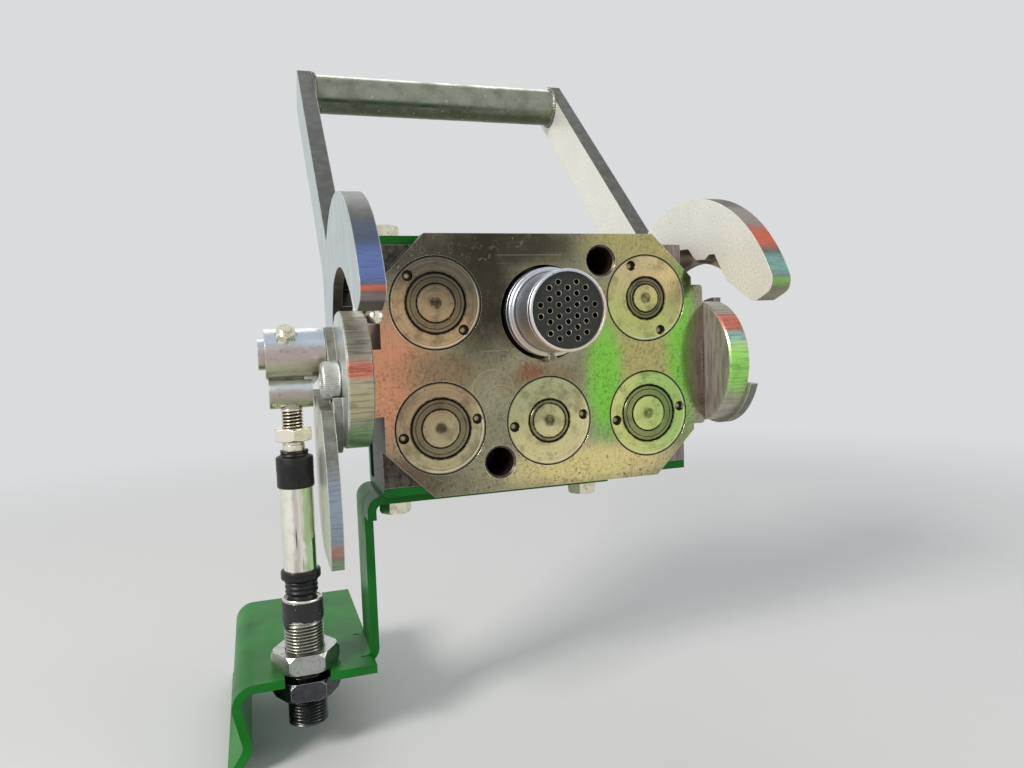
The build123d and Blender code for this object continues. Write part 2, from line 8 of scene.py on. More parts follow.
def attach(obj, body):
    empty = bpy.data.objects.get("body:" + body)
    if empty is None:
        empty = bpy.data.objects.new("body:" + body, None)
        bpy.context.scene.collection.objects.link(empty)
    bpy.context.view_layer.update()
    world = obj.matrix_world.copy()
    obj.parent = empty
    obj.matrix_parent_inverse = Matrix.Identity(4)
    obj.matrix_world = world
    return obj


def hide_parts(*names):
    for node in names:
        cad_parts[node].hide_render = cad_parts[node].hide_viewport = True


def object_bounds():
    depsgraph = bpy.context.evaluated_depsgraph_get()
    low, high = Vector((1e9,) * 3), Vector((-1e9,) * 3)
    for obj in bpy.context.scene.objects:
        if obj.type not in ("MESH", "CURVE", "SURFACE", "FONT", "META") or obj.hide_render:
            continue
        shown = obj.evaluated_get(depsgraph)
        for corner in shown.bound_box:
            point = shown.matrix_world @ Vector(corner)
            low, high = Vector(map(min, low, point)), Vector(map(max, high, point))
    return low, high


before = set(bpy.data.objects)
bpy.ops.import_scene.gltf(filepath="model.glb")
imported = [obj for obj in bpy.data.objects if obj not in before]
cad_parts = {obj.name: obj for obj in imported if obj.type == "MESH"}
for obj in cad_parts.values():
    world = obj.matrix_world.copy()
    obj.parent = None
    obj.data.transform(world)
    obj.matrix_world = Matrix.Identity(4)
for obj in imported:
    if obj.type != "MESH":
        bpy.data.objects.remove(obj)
cad_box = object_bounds()

# The mounting bracket is a folded steel channel that carries everything else. It is painted green after
# folding, and four bolts through its web hold it. The paint has dulled under a film of dust, and is chipped
# to the primer at its edges.
MM = 0.001


class Wire:
    """A number or colour in a node tree. Numbers can be reckoned with as Python's own are."""

    def __init__(self, mixing, socket):
        self.mixing = mixing
        self.socket = socket

    def reckon(self, operation, first, second=0.0):
        return self.mixing.add("ShaderNodeMath", {"operation": operation}, {0: first, 1: second})

    def __add__(self, other):
        return self.reckon("ADD", self, other)

    def __sub__(self, other):
        return self.reckon("SUBTRACT", self, other)

    def __rsub__(self, other):
        return self.reckon("SUBTRACT", other, self)

    def __mul__(self, other):
        return self.reckon("MULTIPLY", self, other)

    def __truediv__(self, other):
        return self.reckon("DIVIDE", self, other)

    def __rtruediv__(self, other):
        return self.reckon("DIVIDE", other, self)

    def __abs__(self):
        return self.reckon("ABSOLUTE", self)

    __radd__ = __add__
    __rmul__ = __mul__

    def least(self, other):
        return self.reckon("MINIMUM", self, other)

    def most(self, other):
        return self.reckon("MAXIMUM", self, other)

    def rise(self, low, high):
        """0 below low, 1 above high and a smooth step between them. With low above high it falls instead."""
        values = {"Value": self, "From Min": low, "From Max": high}
        return self.mixing.add("ShaderNodeMapRange", {"interpolation_type": "SMOOTHSTEP"}, values)


class Mixing:
    """A node tree as it is put together."""

    def __init__(self, tree):
        self.nodes = tree.nodes
        self.links = tree.links

    def add(self, kind, settings=None, values=None, output=0):
        """One node: its settings go in first, then the values or wires of its sockets."""
        node = self.nodes.new(kind)
        for key, value in (settings or {}).items():
            setattr(node, key, value)
        for key, value in (values or {}).items():
            self.feed(node.inputs[key], value)
        return Wire(self, node.outputs[output])

    def feed(self, socket, value):
        if isinstance(value, Wire):
            self.links.new(value.socket, socket)
        else:
            socket.default_value = value

    def mix(self, factor, first, second):
        """Colour that goes from the first to the second as the factor goes from 0 to 1."""
        colours = [value if isinstance(value, Wire) else (*value, 1.0) for value in (first, second)]
        settings = {"data_type": "RGBA", "clamp_factor": True}
        return self.add("ShaderNodeMix", settings, {0: factor, 6: colours[0], 7: colours[1]}, 2)


class Finish(Mixing):
    """A material, with the place on its piece, in millimetres, that its patterns go by."""

    def __init__(self, name):
        self.material = bpy.data.materials.new(name)
        self.material.use_nodes = True
        super().__init__(self.material.node_tree)
        self.shader = self.nodes["Principled BSDF"]
        rest = self.add("ShaderNodeTexCoord", output="Object")
        self.place = self.stretched(rest, (1 / MM, 1 / MM, 1 / MM))
        self.x, self.y, self.z = self.parts(self.place)

    def stretched(self, place, factors):
        return self.add("ShaderNodeVectorMath", {"operation": "MULTIPLY"}, {0: place, 1: factors})

    def parts(self, vector):
        split = self.add("ShaderNodeSeparateXYZ", {}, {0: vector})
        return [Wire(self, socket) for socket in split.socket.node.outputs]

    def cloud(self, size, seed, detail=3.0, stretch=(1, 1, 1)):
        """Noise from 0 to 1 with spots of a size in millimetres, drawn out along an axis by stretch."""
        place = self.stretched(self.place, [1 / (size * part) for part in stretch])
        values = {"Vector": place, "W": seed, "Scale": 1.0, "Detail": detail, "Roughness": 0.6}
        return self.add("ShaderNodeTexNoise", {"noise_dimensions": "4D"}, values)

    def specks(self, size, seed, share):
        """1 in small spots about a size in millimetres, on a share of the surface, and 0 elsewhere."""
        return self.cloud(size, seed, 1.0).rise(0.72 - share, 0.76 - share)

    def from_axis(self, centre, along):
        """Distance in millimetres from an axis through a point; along is 0, 1 or 2 for X, Y or Z."""
        offset = self.add("ShaderNodeVectorMath", {"operation": "SUBTRACT"}, {0: self.place, 1: centre})
        flat = self.stretched(offset, [0 if axis == along else 1 for axis in range(3)])
        return self.add("ShaderNodeVectorMath", {"operation": "LENGTH"}, {0: flat}, "Value")

    def turning(self, radius, pitch, seed):
        """Fine rings from a lathe tool, pitch millimetres apart."""
        values = {"W": radius / pitch + seed, "Scale": 1.0, "Detail": 2.0}
        return self.add("ShaderNodeTexNoise", {"noise_dimensions": "1D"}, values)

    def patch(self, centre, reach, drift, ragged=0.7):
        """1 in an oval of the given half widths, falling to 0 over an edge that a cloud makes ragged."""
        offset = self.add("ShaderNodeVectorMath", {"operation": "SUBTRACT"}, {0: self.place, 1: centre})
        scaled = self.stretched(offset, [1 / part for part in reach])
        distance = self.add("ShaderNodeVectorMath", {"operation": "LENGTH"}, {0: scaled}, "Value")
        return (distance + (drift - 0.5) * ragged).rise(1.25, 0.35)

    def edge_wear_and_highlight(self, radius):
        """1 where the surface turns sharply within a radius in millimetres, and 0 on flat ground."""
        bevel = self.add("ShaderNodeBevel", {"samples": 4}, {"Radius": radius * MM})
        ground = self.add("ShaderNodeNewGeometry", output="Normal")
        dot = self.add("ShaderNodeVectorMath", {"operation": "DOT_PRODUCT"}, {0: bevel, 1: ground}, "Value")
        return (1 - dot).rise(0.01, 0.1)

    def surface(self, colour, roughness, metallic=1.0, **others):
        self.feed(self.shader.inputs["Base Color"], colour)
        self.feed(self.shader.inputs["Roughness"], roughness)
        self.feed(self.shader.inputs["Metallic"], metallic)
        for name, value in others.items():
            self.feed(self.shader.inputs[name.replace("_", " ")], value)

    def relief(self, height, depth, rounding=0.0):
        """Bumps of a depth in millimetres, over edges that look rounded by a radius in millimetres."""
        values = {"Height": height, "Distance": depth * MM}
        if rounding:
            values["Normal"] = self.add("ShaderNodeBevel", {"samples": 4}, {"Radius": rounding * MM})
        self.feed(self.shader.inputs["Normal"], self.add("ShaderNodeBump", {}, values))
        return self


def dress(finish, *names):
    """Gives CAD nodes their finish."""
    for name in names:
        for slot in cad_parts[name].material_slots:
            slot.material = finish.material


def green_paint(name, seed):
    """Green machine paint that has dulled, dusty in places and chipped along its edges."""
    paint = Finish(name)
    fresh, deep = (0.010, 0.20, 0.018), (0.005, 0.12, 0.013)
    dust, primer = (0.12, 0.14, 0.07), (0.09, 0.085, 0.075)
    tone = paint.mix(paint.cloud(48, seed).rise(0.35, 0.65), deep, fresh)
    film = paint.cloud(18, seed + 1, 6.0).rise(0.5, 0.78)
    tone = paint.mix(film * 0.08, tone, dust)
    scuffs = paint.cloud(3, seed + 2, 4.0, (14, 1, 1)).rise(0.64, 0.7)
    tone = paint.mix(scuffs * 0.12, tone, dust)
    chips = paint.edge_wear_and_highlight(1.2) * paint.cloud(4, seed + 3, 5.0).rise(0.52, 0.57)
    colour = paint.mix(chips, tone, primer)
    paint.surface(colour, 0.34 + 0.2 * film + 0.3 * chips, chips * 0.6, Specular_IOR_Level=0.16)
    return paint.relief(paint.cloud(1.6, seed + 5, 1.0), 0.014, 0.5)


dress(green_paint("bracket_green_paint", 1.0), "mounting_bracket")

# The coupler block is one machined piece of steel, ground on its face and plated with zinc. Its face has
# painted reflections in rosy, smoky and greenish zones, and is scratched, stained and pitted with rust along
# its lower edge.
block = Finish("block_plated_steel")
face_y = -55.0
grime, rust_brown = (0.030, 0.026, 0.018), (0.13, 0.05, 0.022)
tone = block.mix(block.cloud(26, 11.0, 4.0).rise(0.3, 0.7), (0.30, 0.28, 0.18), (0.42, 0.40, 0.25))
ragged = block.cloud(11, 12.0, 5.0)
# Tones of the painted reflections on the face
rose, umber, gold, brass = (0.76, 0.34, 0.19), (0.30, 0.21, 0.12), (1.0, 0.84, 0.36), (0.58, 0.52, 0.20)
smoke, dark_reflection, leaf, grey_reflection = (0.10, 0.09, 0.065), (0.048, 0.042, 0.030), (0.27, 0.74, 0.09), (0.44, 0.37, 0.35)

# The painted reflections' zones, which reach right through the block; the grey one by the right ear stands
# in for the disc's reflection. Columns: x and z of the middle, half width, half height, tone, strength
through = 400
painted_reflections = [
    (-84, -4, 38, 36, rose, 0.95), (-50, -3, 22, 12, umber, 0.8), (-68, 52, 44, 17, smoke, 0.92),
    (-32, 32, 24, 34, dark_reflection, 0.95), (-14, 54, 40, 13, dark_reflection, 0.9), (-4, -8, 24, 9, umber, 0.7),
    (46, 54, 30, 13, brass, 0.8), (50, 2, 30, 42, brass, 0.92), (29, -10, 11, 34, leaf, 0.95),
    (71, 2, 10, 44, leaf, 0.85), (85, -4, 12, 33, grey_reflection, 0.9), (20, -50, 50, 11, gold, 0.85),
    (-66, -52, 30, 14, smoke, 0.7),
]
facing = block.parts(block.add("ShaderNodeTexCoord", output="Normal"))[1]
on_face = block.y.rise(face_y + 0.12, face_y + 0.02) * abs(facing).rise(0.985, 0.999)
for x, z, wide, high, colour, strength in painted_reflections:
    tone = block.mix(block.patch((x, face_y, z), (wide, through, high), ragged, 0.5) * strength, tone, colour)
mottle = block.cloud(1.3, 14.0, 6.0).rise(0.44, 0.68) * block.cloud(16, 13.0, 3.0).rise(0.25, 0.6)
streaks = block.cloud(1.1, 27.0, 4.0, (1, 1, 5)).rise(0.44, 0.70)
tone = block.mix(mottle * 0.42 + streaks * 0.16, tone, grime)
speck_field = block.cloud(34, 16.0, 2.0).rise(0.42, 0.60)
pale_specks = block.specks(2.4, 15.0, 0.05) * speck_field
tone = block.mix(pale_specks * 0.35, tone, (0.62, 0.56, 0.36))
rings = abs(block.cloud(4.2, 23.0, 1.0) - 0.61).rise(0.018, 0.008) * speck_field
tone = block.mix(rings * 0.22, tone, (0.60, 0.55, 0.38))
pits = block.specks(1.3, 17.0, 0.07) * (block.z + block.cloud(20, 24.0) * 16).rise(-24, -42)
tone = block.mix(pits * 0.85, tone, grime)
rust = block.cloud(5, 18.0, 6.0).rise(0.42, 0.58) * block.x.rise(-50, -74) * block.z.rise(-36, -47)
tone = block.mix(rust * 0.85, tone, rust_brown)
smear = block.patch((-8.8, face_y, -5.0), (7, through, 5), block.cloud(2.5, 19.0, 4.0), 1.6)
tone = block.mix(smear * 0.4, tone, (0.34, 0.045, 0.03))


def scribed(centre, radius):
    """A faint arc that a part has scraped into the face."""
    return abs(block.from_axis(centre, 1) - radius).rise(0.32, 0.08)


scratches = scribed((-27.1, 0, -12.9), 10.0) * block.z.rise(-15, -10)
scratches = scratches.most(scribed((-23.9, 0, -20.2), 10.0) * block.z.rise(-20, -16))
for height, left, right in ((49.0, -25, 11), (5.8, -33, -17)):
    line = abs(block.z - height).rise(0.26, 0.06) * block.x.rise(left, left + 4)
    scratches = scratches.most(line * block.x.rise(right, right - 4))
hairlines = block.cloud(1.0, 20.0, 2.0, (34, 1, 1)).rise(0.64, 0.72)
tone = block.mix(scratches * 0.2 + hairlines * 0.10, tone, (0.80, 0.74, 0.56))
side_tone = block.mix(block.cloud(3, 28.0, 5.0).rise(0.4, 0.62), (0.13, 0.115, 0.09), (0.045, 0.035, 0.026))
side_rust = block.cloud(2, 29.0, 4.0).rise(0.6, 0.68) * block.z.rise(-20, -40)
side_tone = block.mix(side_rust, side_tone, rust_brown)
right_streaks = block.cloud(2.0, 30.0, 4.0, (1, 1, 7)).rise(0.4, 0.65)
right_tone = block.mix(right_streaks, (0.34, 0.285, 0.265), (0.20, 0.165, 0.155))
side_tone = block.mix(block.x.rise(58, 70) * 0.9, side_tone, right_tone)
# Painted light and shadow on the left ear's side: a lit rosy tone above the ear's notch, and near black as
# shadow in the notch below.
left_ear = block.x.rise(-70, -76)
upper_notch, lower_notch = block.z.rise(2, 8) * block.z.rise(31, 27), abs(block.z + 24).rise(16, 12)
side_tone = block.mix(left_ear * upper_notch * 0.85, side_tone, (0.56, 0.26, 0.15))
side_tone = block.mix(left_ear * lower_notch * 0.9, side_tone, (0.02, 0.018, 0.015))
tone = block.mix(on_face, side_tone, tone)
milled = block.cloud(0.8, 22.0, 2.0, (40, 1, 1))
upper_bore, lower_bore, connector_centre = (28.6, 0, 46.1), (-24.7, 0, -45.5), (0, 0, 22.5)
# Painted shade: inside the bores and the connector's pocket the surface goes near black with depth behind the
# face.
bore_shade = block.y.rise(face_y + 0.5, face_y + 2.0) * block.y.rise(-16, -22)
in_bores = bore_shade * block.from_axis(upper_bore, 1).least(block.from_axis(lower_bore, 1)).rise(8.5, 7.4)
pocket_shade = bore_shade * block.from_axis(connector_centre, 1).rise(23.5, 22.3)
tone = block.mix(in_bores.most(pocket_shade) * 0.96, tone, (0.030, 0.013, 0.008))
# Near-white along sharp edges, out of the bores: painted edge highlights, and wear.
tone = block.mix(block.edge_wear_and_highlight(0.45) * (1 - in_bores) * 0.55, tone, (0.92, 0.87, 0.66))
stained = pits.most(rust).most(in_bores)
gloss = 0.13 + 0.14 * mottle + 0.05 * streaks + 0.3 * stained.most(smear)
covered = (0.75 * stained).most(0.35 * (1 - on_face))
block.surface(tone, gloss * on_face + (1 - on_face) * (0.36 + 0.2 * milled), 1 - covered)
block.relief(block.cloud(1.1, 26.0, 3.0) * 0.35 - scratches * 0.3, 0.018, 0.3)
dress(block, "coupler_block")

# Plated hexagon bolts clamp the block between the channel's flanges, the lower two through the cable
# bracket too. A small round-ended stop pin stands at the face plate's left edge.
def plated_fastener(name, light, seed, radius=0.5):
    """Zinc-plated screws and nuts: grey stains, dull scuffs, and bright edges of painted highlight and wear.
    """
    zinc = Finish(name)
    stain = zinc.cloud(4, seed, 5.0).rise(0.42, 0.72)
    grime_marks = zinc.cloud(1.5, seed + 1, 4.0).rise(0.55, 0.68)
    tone = zinc.mix(stain * 0.6, light, [part * 0.5 for part in light])
    tone = zinc.mix(grime_marks * 0.45, tone, grime)
    # Painted edge highlights, and wear: near-white along sharp edges.
    tone = zinc.mix(zinc.edge_wear_and_highlight(radius) * 0.6, tone, (0.95, 0.92, 0.80))
    zinc.surface(tone, 0.28 + 0.2 * stain + 0.2 * grime_marks)
    return zinc.relief(zinc.cloud(0.9, seed + 2, 3.0), 0.007, 0.25)


def turned(profile, centre, along, sides=96):
    """Points and faces, in millimetres, of a shape turned round an axis through a centre.

    Its profile is pairs of radius and place along the axis. A radius may also be a function of the angle,
    for flats and knurls.
    """
    first, second = [axis for axis in range(3) if axis != along]
    points = []
    for radius, place in profile:
        for step in range(sides):
            angle = 2 * math.pi * step / sides
            reach = radius(angle) if callable(radius) else radius
            point = list(centre)
            point[along] = place
            point[first] += reach * math.cos(angle)
            point[second] += reach * math.sin(angle)
            points.append(point)
    faces = []
    for row in range(len(profile) - 1):
        for step in range(sides):
            left, right = row * sides + step, row * sides + (step + 1) % sides
            faces.append((left, right, right + sides, left + sides))
    return points, faces


def fitted(name, shapes, body, slot, finish, *nodes):
    """Joins shapes into one piece, which rides on a body, and may stand for nodes of the frame."""
    built = bmesh.new()
    for points, faces in shapes:
        corners = [built.verts.new(Vector(point) * MM) for point in points]
        for face in faces:
            built.faces.new([corners[index] for index in face])
    bmesh.ops.remove_doubles(built, verts=built.verts, dist=0.002 * MM)
    bmesh.ops.recalc_face_normals(built, faces=built.faces)
    mesh = bpy.data.meshes.new(name)
    built.to_mesh(mesh)
    built.free()
    mesh.shade_smooth()
    mesh.set_sharp_from_angle(angle=math.radians(34))
    mesh.materials.append(finish.material)
    piece = bpy.data.objects.new(name, mesh)
    bpy.context.scene.collection.objects.link(piece)
    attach(piece, body)
    if nodes:
        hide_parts(*nodes)


def hexagon(across, widest=math.inf):
    """A hexagon's radius by angle, from its width across flats, cut off where a turned cone is narrower."""
    def radius(angle):
        turn = (angle + math.pi / 6) % (math.pi / 3) - math.pi / 6
        return min(across / 2 / math.cos(turn), widest)
    return radius


def nut(across, bore, start, end, centre, along):
    """A hexagon nut, its corners turned away at both ends."""
    flat, corner = across * 0.485, across / 2 / math.cos(math.pi / 6)
    rise = math.copysign((corner - flat) * math.tan(math.pi / 6), end - start)
    parts = [0, 0.2, 0.4, 0.6, 0.8, 1]
    first = [(hexagon(across, flat + (corner - flat) * part), start + rise * part) for part in parts]
    last = [(hexagon(across, flat + (corner - flat) * part), end - rise * part) for part in reversed(parts)]
    face = flat * 0.92
    profile = [(bore, start), (face, start), *first, *last, (face, end), (bore, end), (bore, start)]
    return turned(profile, centre, along)


dress(plated_fastener("bolt_zinc", (0.86, 0.81, 0.62), 31.0), "clamp_bolts")
stop_zinc = plated_fastener("stop_pin_zinc", (0.90, 0.86, 0.70), 34.0)
stop_place = (-78.9, 0, 22.6)
stop_profile = [(0, -40), (3.2, -40), (3.2, -56.6), (3.0, -57.4), (2.3, -58.1), (1.2, -58.5), (0, -58.6)]
stop_pin = turned(stop_profile, stop_place, 1, 48)
fitted("stop_pin", [stop_pin], "base", "fastener_steel", stop_zinc)

# Each hydraulic cartridge is a turned steel ring screwed into the block, with a spring-loaded sleeve round
# a fixed stem. Flat faces show turning marks. The sleeves have a bevelled rim and a fine groove, dark with
# oil, dirt and painted shade.
# Columns: letter, x, z, painted lit tone, painted shaded tone, where the shaded tone lies in degrees, sleeve
# radius, stem radius, sleeve's sink
cartridges = [
    ("a", -52.0, 28.0, (0.56, 0.38, 0.21), (0.15, 0.13, 0.085), 70, 13.8, 8.65, 0.05),
    ("b", -52.0, -28.0, (0.52, 0.45, 0.26), (0.44, 0.31, 0.18), 120, 13.8, 8.65, 0.05),
    ("c", 0.0, -28.0, (0.78, 0.70, 0.35), (0.50, 0.50, 0.26), 110, 10.3, 8.0, 0.0),
    ("d", 52.0, -28.0, (0.72, 0.76, 0.27), (0.46, 0.68, 0.20), 20, 14.0, 8.6, 0.1),
    ("e", 52.0, 28.0, (0.58, 0.62, 0.22), (0.70, 0.56, 0.30), 75, 10.4, 6.7, 0.35),
]
flange_radius, sleeve_length, seal_groove = 20.7, 14.0, 2.1
first_seed = 40
for seed, cartridge in enumerate(cartridges, first_seed):
    letter, x, z, lit_tone, shaded_tone, lean, sleeve_radius, stem_radius, sink = cartridge
    steel = Finish(f"cartridge_{letter}_turned_steel")
    radius = steel.from_axis((x, 0, z), 1)
    fine_rings = steel.turning(radius, 0.28, seed)
    tool_rings = steel.turning(radius, 0.6, seed + 0.5)
    lean_x, lean_z = math.cos(math.radians(lean)), math.sin(math.radians(lean))
    # Painted light and shade: each face goes from its lit tone to its shaded tone towards the given
    # direction.
    side = (steel.x - x) * lean_x + (steel.z - z) * lean_z + steel.cloud(12, seed + 0.1) * 14 - 7
    tone = steel.mix(side.rise(-9, 12), lit_tone, shaded_tone)
    tone = steel.mix(tool_rings.rise(0.45, 0.75) * 0.22, tone, [part * 0.42 for part in shaded_tone])
    tone = steel.mix(tool_rings.rise(0.5, 0.25) * 0.12, tone, (0.88, 0.84, 0.60))
    off_stem = radius.rise(stem_radius - 0.4, stem_radius)
    on_sleeve = radius.rise(sleeve_radius + 0.1, sleeve_radius - 0.3) * off_stem
    tone = steel.mix(on_sleeve * 0.62, tone, (0.085, 0.085, 0.05))
    oil = steel.cloud(6, seed + 0.3, 5.0).rise(0.46, 0.68)
    tone = steel.mix(oil * 0.45, tone, (0.07, 0.065, 0.04))
    joints = abs(radius - stem_radius).rise(0.6, 0.25).most(abs(radius - sleeve_radius).rise(0.7, 0.2))
    ragged = steel.cloud(1.6, seed + 0.6, 4.0).rise(0.3, 0.55)
    # Painted shade where the surface lies behind the block's face, as in the sleeve's groove and rim, mixed
    # with the dirt in the joints.
    deep = steel.y.rise(face_y + 0.15, face_y + 0.6) * radius.rise(stem_radius - 1.5, stem_radius - 1)
    dirt_and_shade = (joints * ragged).most(radius.rise(flange_radius - 0.7, flange_radius - 0.3)).most(deep)
    smudge = radius.rise(3.6, 1.6) * steel.cloud(3.0, seed + 0.2, 4.0).rise(0.25, 0.55)
    pit_marks = steel.specks(1.1, seed + 0.7, 0.03)
    tone = steel.mix((dirt_and_shade * 0.93).most(smudge * 0.8).most(pit_marks * 0.7), tone, (0.014, 0.012, 0.008))
    # A painted glint: a bright ring just inside the flange's edge, on its lower right side only.
    painted_glint = abs(radius - flange_radius + 1.15).rise(0.4, 0.1) * (steel.x - x - steel.z + z).rise(2, 18)
    tone = steel.mix(painted_glint * 0.6, tone, (0.95, 0.90, 0.68))
    steel.surface(tone, 0.18 + 0.14 * fine_rings + 0.18 * oil + 0.3 * dirt_and_shade.most(smudge), 1 - 0.6 * dirt_and_shade)
    steel.relief(fine_rings - pit_marks, 0.02, 0.2)
    dress(steel, f"cartridge_{letter}")
    sleeve_face, groove_radius = face_y + sink, sleeve_radius - seal_groove
    sleeve = turned([
        (stem_radius, face_y + sleeve_length), (stem_radius, sleeve_face + 0.6),
        (stem_radius + 0.5, sleeve_face), (groove_radius - 0.35, sleeve_face),
        (groove_radius - 0.3, sleeve_face + 0.35), (groove_radius, sleeve_face + 0.35),
        (groove_radius + 0.05, sleeve_face), (sleeve_radius - 0.95, sleeve_face),
        (sleeve_radius - 0.72, sleeve_face + 0.22), (sleeve_radius - 0.7, sleeve_face + 1.3),
        (sleeve_radius, sleeve_face + 1.4), (sleeve_radius, face_y + sleeve_length),
        (stem_radius, face_y + sleeve_length),
    ], (x, 0, z), 1, 128)
    fitted(f"sleeve_{letter}_ring", [sleeve], f"sleeve_{letter}", "sleeve_steel", steel, f"sleeve_{letter}")

# Each cartridge has two blind spanner holes, to screw it in by. The drill leaves a cone at the bottom of
# each, of bare steel that has gone a little brassy, with painted shade round its foot.
spanner_depth, spanner_radius, spanner_angles = 3.0, 17.35, (-45, 11, 6, 8, -64)
bottom = face_y + spanner_depth
drilled = Finish("spanner_hole_brassy_steel")
cut_marks = drilled.cloud(0.6, 48.0, 3.0)
tone = drilled.mix(cut_marks.rise(0.3, 0.7), (0.52, 0.48, 0.30), (0.20, 0.17, 0.10))
# Painted shade: the cone goes near black towards its foot, and stays bright only at its tip.
tone = drilled.mix(drilled.y.rise(bottom - 0.3, bottom - 0.6), tone, (0.022, 0.018, 0.011))
drilled.surface(tone, 0.22 + 0.2 * cut_marks)
drilled.relief(cut_marks, 0.02)
cone_profile = [(2.3, bottom - 0.05), (2.3, bottom - 0.9), (0, bottom - 0.1), (0, bottom - 0.05)]
cones = []
for (_, x, z, *_), angle in zip(cartridges, spanner_angles):
    for turn in (math.radians(angle), math.radians(angle + 180)):
        hole = (x + spanner_radius * math.cos(turn), 0, z + spanner_radius * math.sin(turn))
        cones.append(turned(cone_profile, hole, 1, 32))
fitted("spanner_hole_cones", cones, "base", "cartridge_steel", drilled)

# The port adapters are plated steel unions, one for each hose. They are screwed into the back of the block,
# and reach through the bracket's web.
dress(plated_fastener("adapter_zinc", (0.74, 0.70, 0.58), 51.0), "port_adapters")

# The electrical connector has a turned aluminium shell, plated satin silver, and a black moulded insert
# with 31 brass sockets. A groove parts the shell's rim from its base, and a key stands under it.
connector_x, _, connector_z = connector_centre
shell_metal = Finish("connector_satin_metal")
lathe_lines = shell_metal.turning(shell_metal.y, 0.45, 3.0)
sheen = shell_metal.cloud(7, 61.0, 4.0, (1, 3, 1))
rubbed_and_highlit = shell_metal.edge_wear_and_highlight(0.5)
# Painted reflections: the shell is bluish towards its top and yellowish towards its bottom.
reflection_height = (shell_metal.z - connector_z - shell_metal.x * 0.5 + sheen * 8) / 18
tone = shell_metal.mix(reflection_height.rise(0.1, 0.9), (0.70, 0.58, 0.52), (0.56, 0.60, 0.66))
tone = shell_metal.mix(reflection_height.rise(-0.1, -0.8), tone, (0.66, 0.62, 0.44))
tone = shell_metal.mix(sheen.rise(0.55, 0.75) * 0.45, tone, (0.28, 0.26, 0.26))
root_dirt = shell_metal.y.rise(-60.5, -55.5) * shell_metal.cloud(4, 63.0, 4.0).rise(0.2, 0.5)
groove_dirt = abs(shell_metal.y + 63.3).rise(0.9, 0.5)
shell_specks = shell_metal.specks(1.5, 62.0, 0.05)
tone = shell_metal.mix((root_dirt * 0.85).most(groove_dirt * 0.7).most(shell_specks * 0.6), tone, grime)
# Painted edge highlights, and wear: near-white along the shell's sharp edges.
tone = shell_metal.mix(rubbed_and_highlit * 0.75, tone, (0.98, 0.95, 0.88))
shell_metal.surface(tone, 0.28 + 0.14 * lathe_lines + 0.12 * sheen)
shell_metal.relief(lathe_lines, 0.018, 0.25)
shell = turned([
    (0, -47), (16.4, -47), (16.4, -81.9), (16.8, -82.7), (17.1, -82.8), (17.6, -82.8), (18.0, -82.4),
    (18.0, -80.2), (17.8, -80.0), (17.8, -79.7), (18.0, -79.5), (18.0, -64.3), (17.7, -64.0), (17.2, -63.8),
    (17.2, -62.9), (18.6, -62.7), (18.9, -62.4), (18.9, -62.0), (19.9, -62.0), (20.4, -61.5), (20.4, -58.6),
    (20.1, -58.3), (20.1, -57.8), (20.4, -57.5), (20.4, -41), (21.9, -41), (21.9, -15), (15, -15), (15, -3.4),
    (14.6, -3), (0, -3),
], connector_centre, 1, 160)
key_place = (-0.6, 0, 1.4)
key = turned([(0, -63.2), (1.9, -63.2), (2.2, -62.9), (2.2, -55), (0, -55)], key_place, 1, 6)
fitted("connector_turned_shell", [shell, key], "base", "connector_metal", shell_metal, "connector_shell")

insert_plastic = Finish("insert_black_plastic")
dusting = insert_plastic.cloud(1.8, 64.0, 5.0).rise(0.5, 0.75)
# Painted shade: the insert goes near black down inside its holes.
hole_shade = insert_plastic.y.rise(-81.45, -81.1)
tone = insert_plastic.mix(dusting * 0.5, (0.010, 0.012, 0.009), (0.045, 0.05, 0.035))
tone = insert_plastic.mix(hole_shade, tone, (0.002, 0.002, 0.002))
insert_plastic.surface(tone, 0.42 + 0.25 * dusting, 0.0)
insert_plastic.relief(insert_plastic.cloud(0.5, 65.0, 2.0), 0.03, 0.15)
dress(insert_plastic, "connector_insert")
socket_brass = Finish("socket_brass")
tarnish = socket_brass.cloud(1.5, 66.0, 4.0).rise(0.35, 0.65)
tone = socket_brass.mix(tarnish, (0.42, 0.38, 0.26), (0.16, 0.13, 0.08))
# Painted shade: each socket goes near black down inside its bore.
tone = socket_brass.mix(socket_brass.y.rise(-81.6, -80.6), tone, (0.015, 0.012, 0.008))
socket_brass.surface(tone, 0.2 + 0.2 * tarnish)
socket_columns, socket_pitch = (2, 5, 6, 5, 6, 5, 2), 4.87
column_pitch, middle_column = socket_pitch * math.cos(math.radians(30)), len(socket_columns) // 2
socket_profile = [
    (1.29, -76.4), (1.29, -81.58), (1.44, -81.6), (1.42, -81.72),
    (1.28, -81.78), (1.14, -81.7), (1.12, -76.4), (1.29, -76.4),
]
sockets = []
for column, count in enumerate(socket_columns):
    x = connector_x + (column - middle_column) * column_pitch
    for step in range(count):
        centre = (x, 0, connector_z + (step - (count - 1) / 2) * socket_pitch)
        sockets.append(turned(socket_profile, centre, 1, 24))
fitted("contact_sockets", sockets, "base", "connector_metal", socket_brass)

# Pivot screws and hub discs: the lever turns on two thick discs, each on a shoulder screw in the side of
# the block. The screws are plated, and have knurled heads with a hexagon socket. The discs are turned
# steel, with tool lines across the rim.
pivot = (0, -47.8, -4.2)
screw_zinc = plated_fastener("pivot_screw_zinc", (0.60, 0.60, 0.575), 71.0, 0.3)


def knurl(radius, depth, count):
    """A knurled head's radius by angle."""
    return lambda angle: radius - depth * (0.5 - 0.5 * math.cos(count * angle)) ** 2


